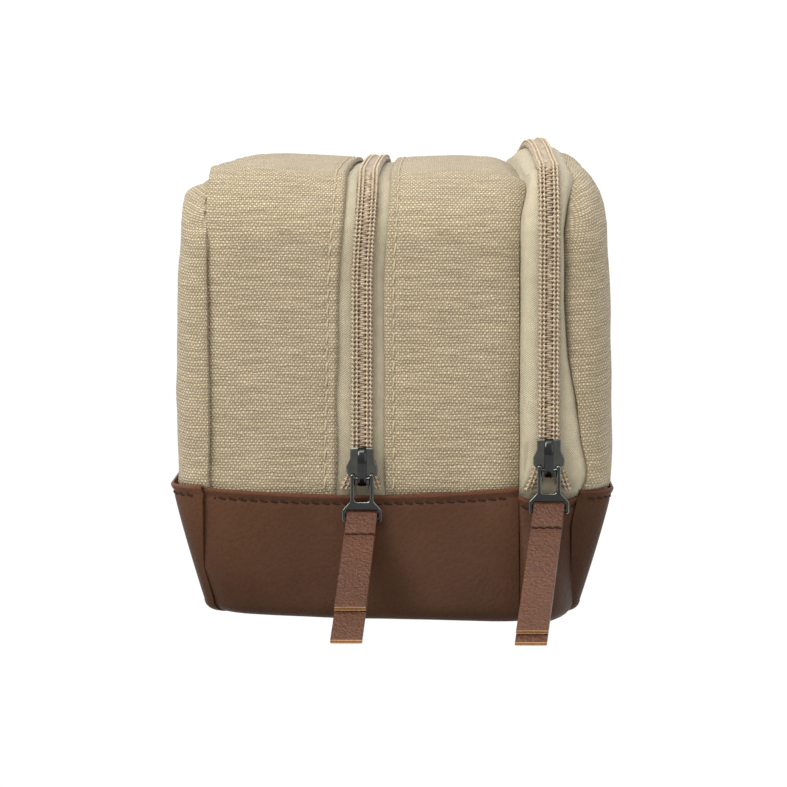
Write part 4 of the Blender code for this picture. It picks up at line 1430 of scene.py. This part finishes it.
def addPatch():
    look = patchLook
    flat = panelLook["front"]["grid"].reshape(-1, 3)
    midZ, halfZ = (look["lowZ"] + look["highZ"]) / 2, (look["highZ"] - look["lowZ"]) / 2
    grid = np.zeros((15, 41, 3))
    for i, z in enumerate(np.linspace(look["lowZ"], look["highZ"], 15)):
        for j, x in enumerate(np.linspace(-look["halfX"], look["halfX"], 41)):
            gap = (flat[:, 0] - x) ** 2 + (flat[:, 2] - z) ** 2
            nearest = np.argpartition(gap, 6)[:6]
            y = np.average(flat[nearest, 1], weights=1 / (gap[nearest] + 1e-8))
            rim = max(abs(x) / look["halfX"], abs(z - midZ) / halfZ)
            grid[i, j] = (x, y - 1.25 * mm + 0.35 * mm * max(rim - 0.9, 0) / 0.1, z)
    verts, faces, _ = sheetParts(grid, look["thickness"], 1)
    patch = addMesh("front_patch_leather", verts, faces, ["leather"])
    standFor("front_patch")
    low, right, high, left = grid[2, 2:-2], grid[2:-2, -3], grid[-3, 2:-2][::-1], grid[2:-2, 2][::-1]
    ring = np.concatenate([low, right, high, left])
    guides = np.tile((0.0, -1.0, 0.0), (len(ring), 1))
    look = dict(baseStitch, slant=0.0)
    stitches = addStitches("front_patch_stitches", ring, guides, look, "leatherThread")
    hingeBlend(patch)
    hingeBlend(stitches)


addPatch()
insideRows = {
    "leather_bottom": "leather",
    "base_board": "board",
    "divider_wall": "lining",
    "main_lining_tray": "lining",
    "pocket_lining_tray": "lining",
}
for node, finish in insideRows.items():
    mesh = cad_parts[node].data
    mesh.materials.clear()
    mesh.materials.append(finishes[finish])
print("inside finished")

# floor, light and camera

stageLook = {"floorHalf": 3.0, "dim": (0.46, 0.46, 0.46, 1), "bright": (1.06, 1.06, 1.06, 1)}


def addStage():
    half = stageLook["floorHalf"]
    mesh = bpy.data.meshes.new("studio_floor")
    corners = [(-half, -half, 0), (half, -half, 0), (half, half, 0), (-half, half, 0)]
    mesh.from_pydata(corners, [], [(0, 1, 2, 3)])
    glow = {"Base_Color": (0, 0, 0, 1), "Specular_IOR_Level": 0.0}
    glow.update(Emission_Color=(1, 1, 1, 1), Emission_Strength=1.02)
    mesh.materials.append(newFinish("studio_glow", 1.0, **glow)[0])
    floor = bpy.data.objects.new("studio_floor", mesh)
    bpy.context.scene.collection.objects.link(floor)
    world = bpy.data.worlds.new("studio")
    world.use_nodes = True
    tree = world.node_tree
    # bright overhead and beyond the bag, dimmer on the side that the slider end faces
    direction = addNode(tree, "ShaderNodeTexCoord").outputs["Generated"]
    parts = addNode(tree, "ShaderNodeSeparateXYZ", {0: direction})
    beyond = calc(tree, "MULTIPLY_ADD", parts.outputs[0], 1.2)
    share = calc(tree, "MAXIMUM", beyond, calc(tree, "MULTIPLY", parts.outputs[2], 0.8))
    colour = ramp(tree, share, ((0.0, stageLook["dim"]), (0.85, stageLook["bright"])))
    tree.links.new(colour, tree.nodes["Background"].inputs[0])
    bpy.context.scene.world = world


# place, target, side in metres and power in watts
lightLook = {
    "key_softbox": ((-0.75, 0.75, 0.95), (-0.1, 0, 0.07), 0.7, 14),
    "top_softbox": ((0.1, 0.0, 1.2), (0, 0, 0.1), 0.9, 2.4),
    "strip_softbox": ((-0.5, 0.1, 0.95), (-0.12, 0, 0.07), 0.35, 2.2),
    "fill_softbox": ((-0.9, -0.7, 0.5), (-0.1, 0, 0.06), 0.8, 2.0),
}


def addLight(name, place, target, size, power):
    light = bpy.data.lights.new(name, "AREA")
    light.shape = "SQUARE"
    light.size = size
    light.energy = power
    lamp = bpy.data.objects.new(name, light)
    lamp.location = place
    lamp.rotation_euler = (Vector(target) - Vector(place)).to_track_quat("-Z", "Y").to_euler()
    bpy.context.scene.collection.objects.link(lamp)


cameraLook = {"place": (-0.997, -0.0123, 0.147), "target": (-0.127, 0.0, 0.0645), "lens": 139.0}


def addCamera():
    camera = bpy.data.cameras.new("bag_camera")
    camera.lens = cameraLook["lens"]
    camera.sensor_width = 36
    camera.clip_start = 0.01
    rig = bpy.data.objects.new("bag_camera", camera)
    rig.location = cameraLook["place"]
    aim = Vector(cameraLook["target"]) - Vector(cameraLook["place"])
    rig.rotation_euler = aim.to_track_quat("-Z", "Y").to_euler()
    bpy.context.scene.collection.objects.link(rig)
    bpy.context.scene.camera = rig


addStage()
for lightName, lightRow in lightLook.items():
    addLight(lightName, *lightRow)
addCamera()
print("stage set")
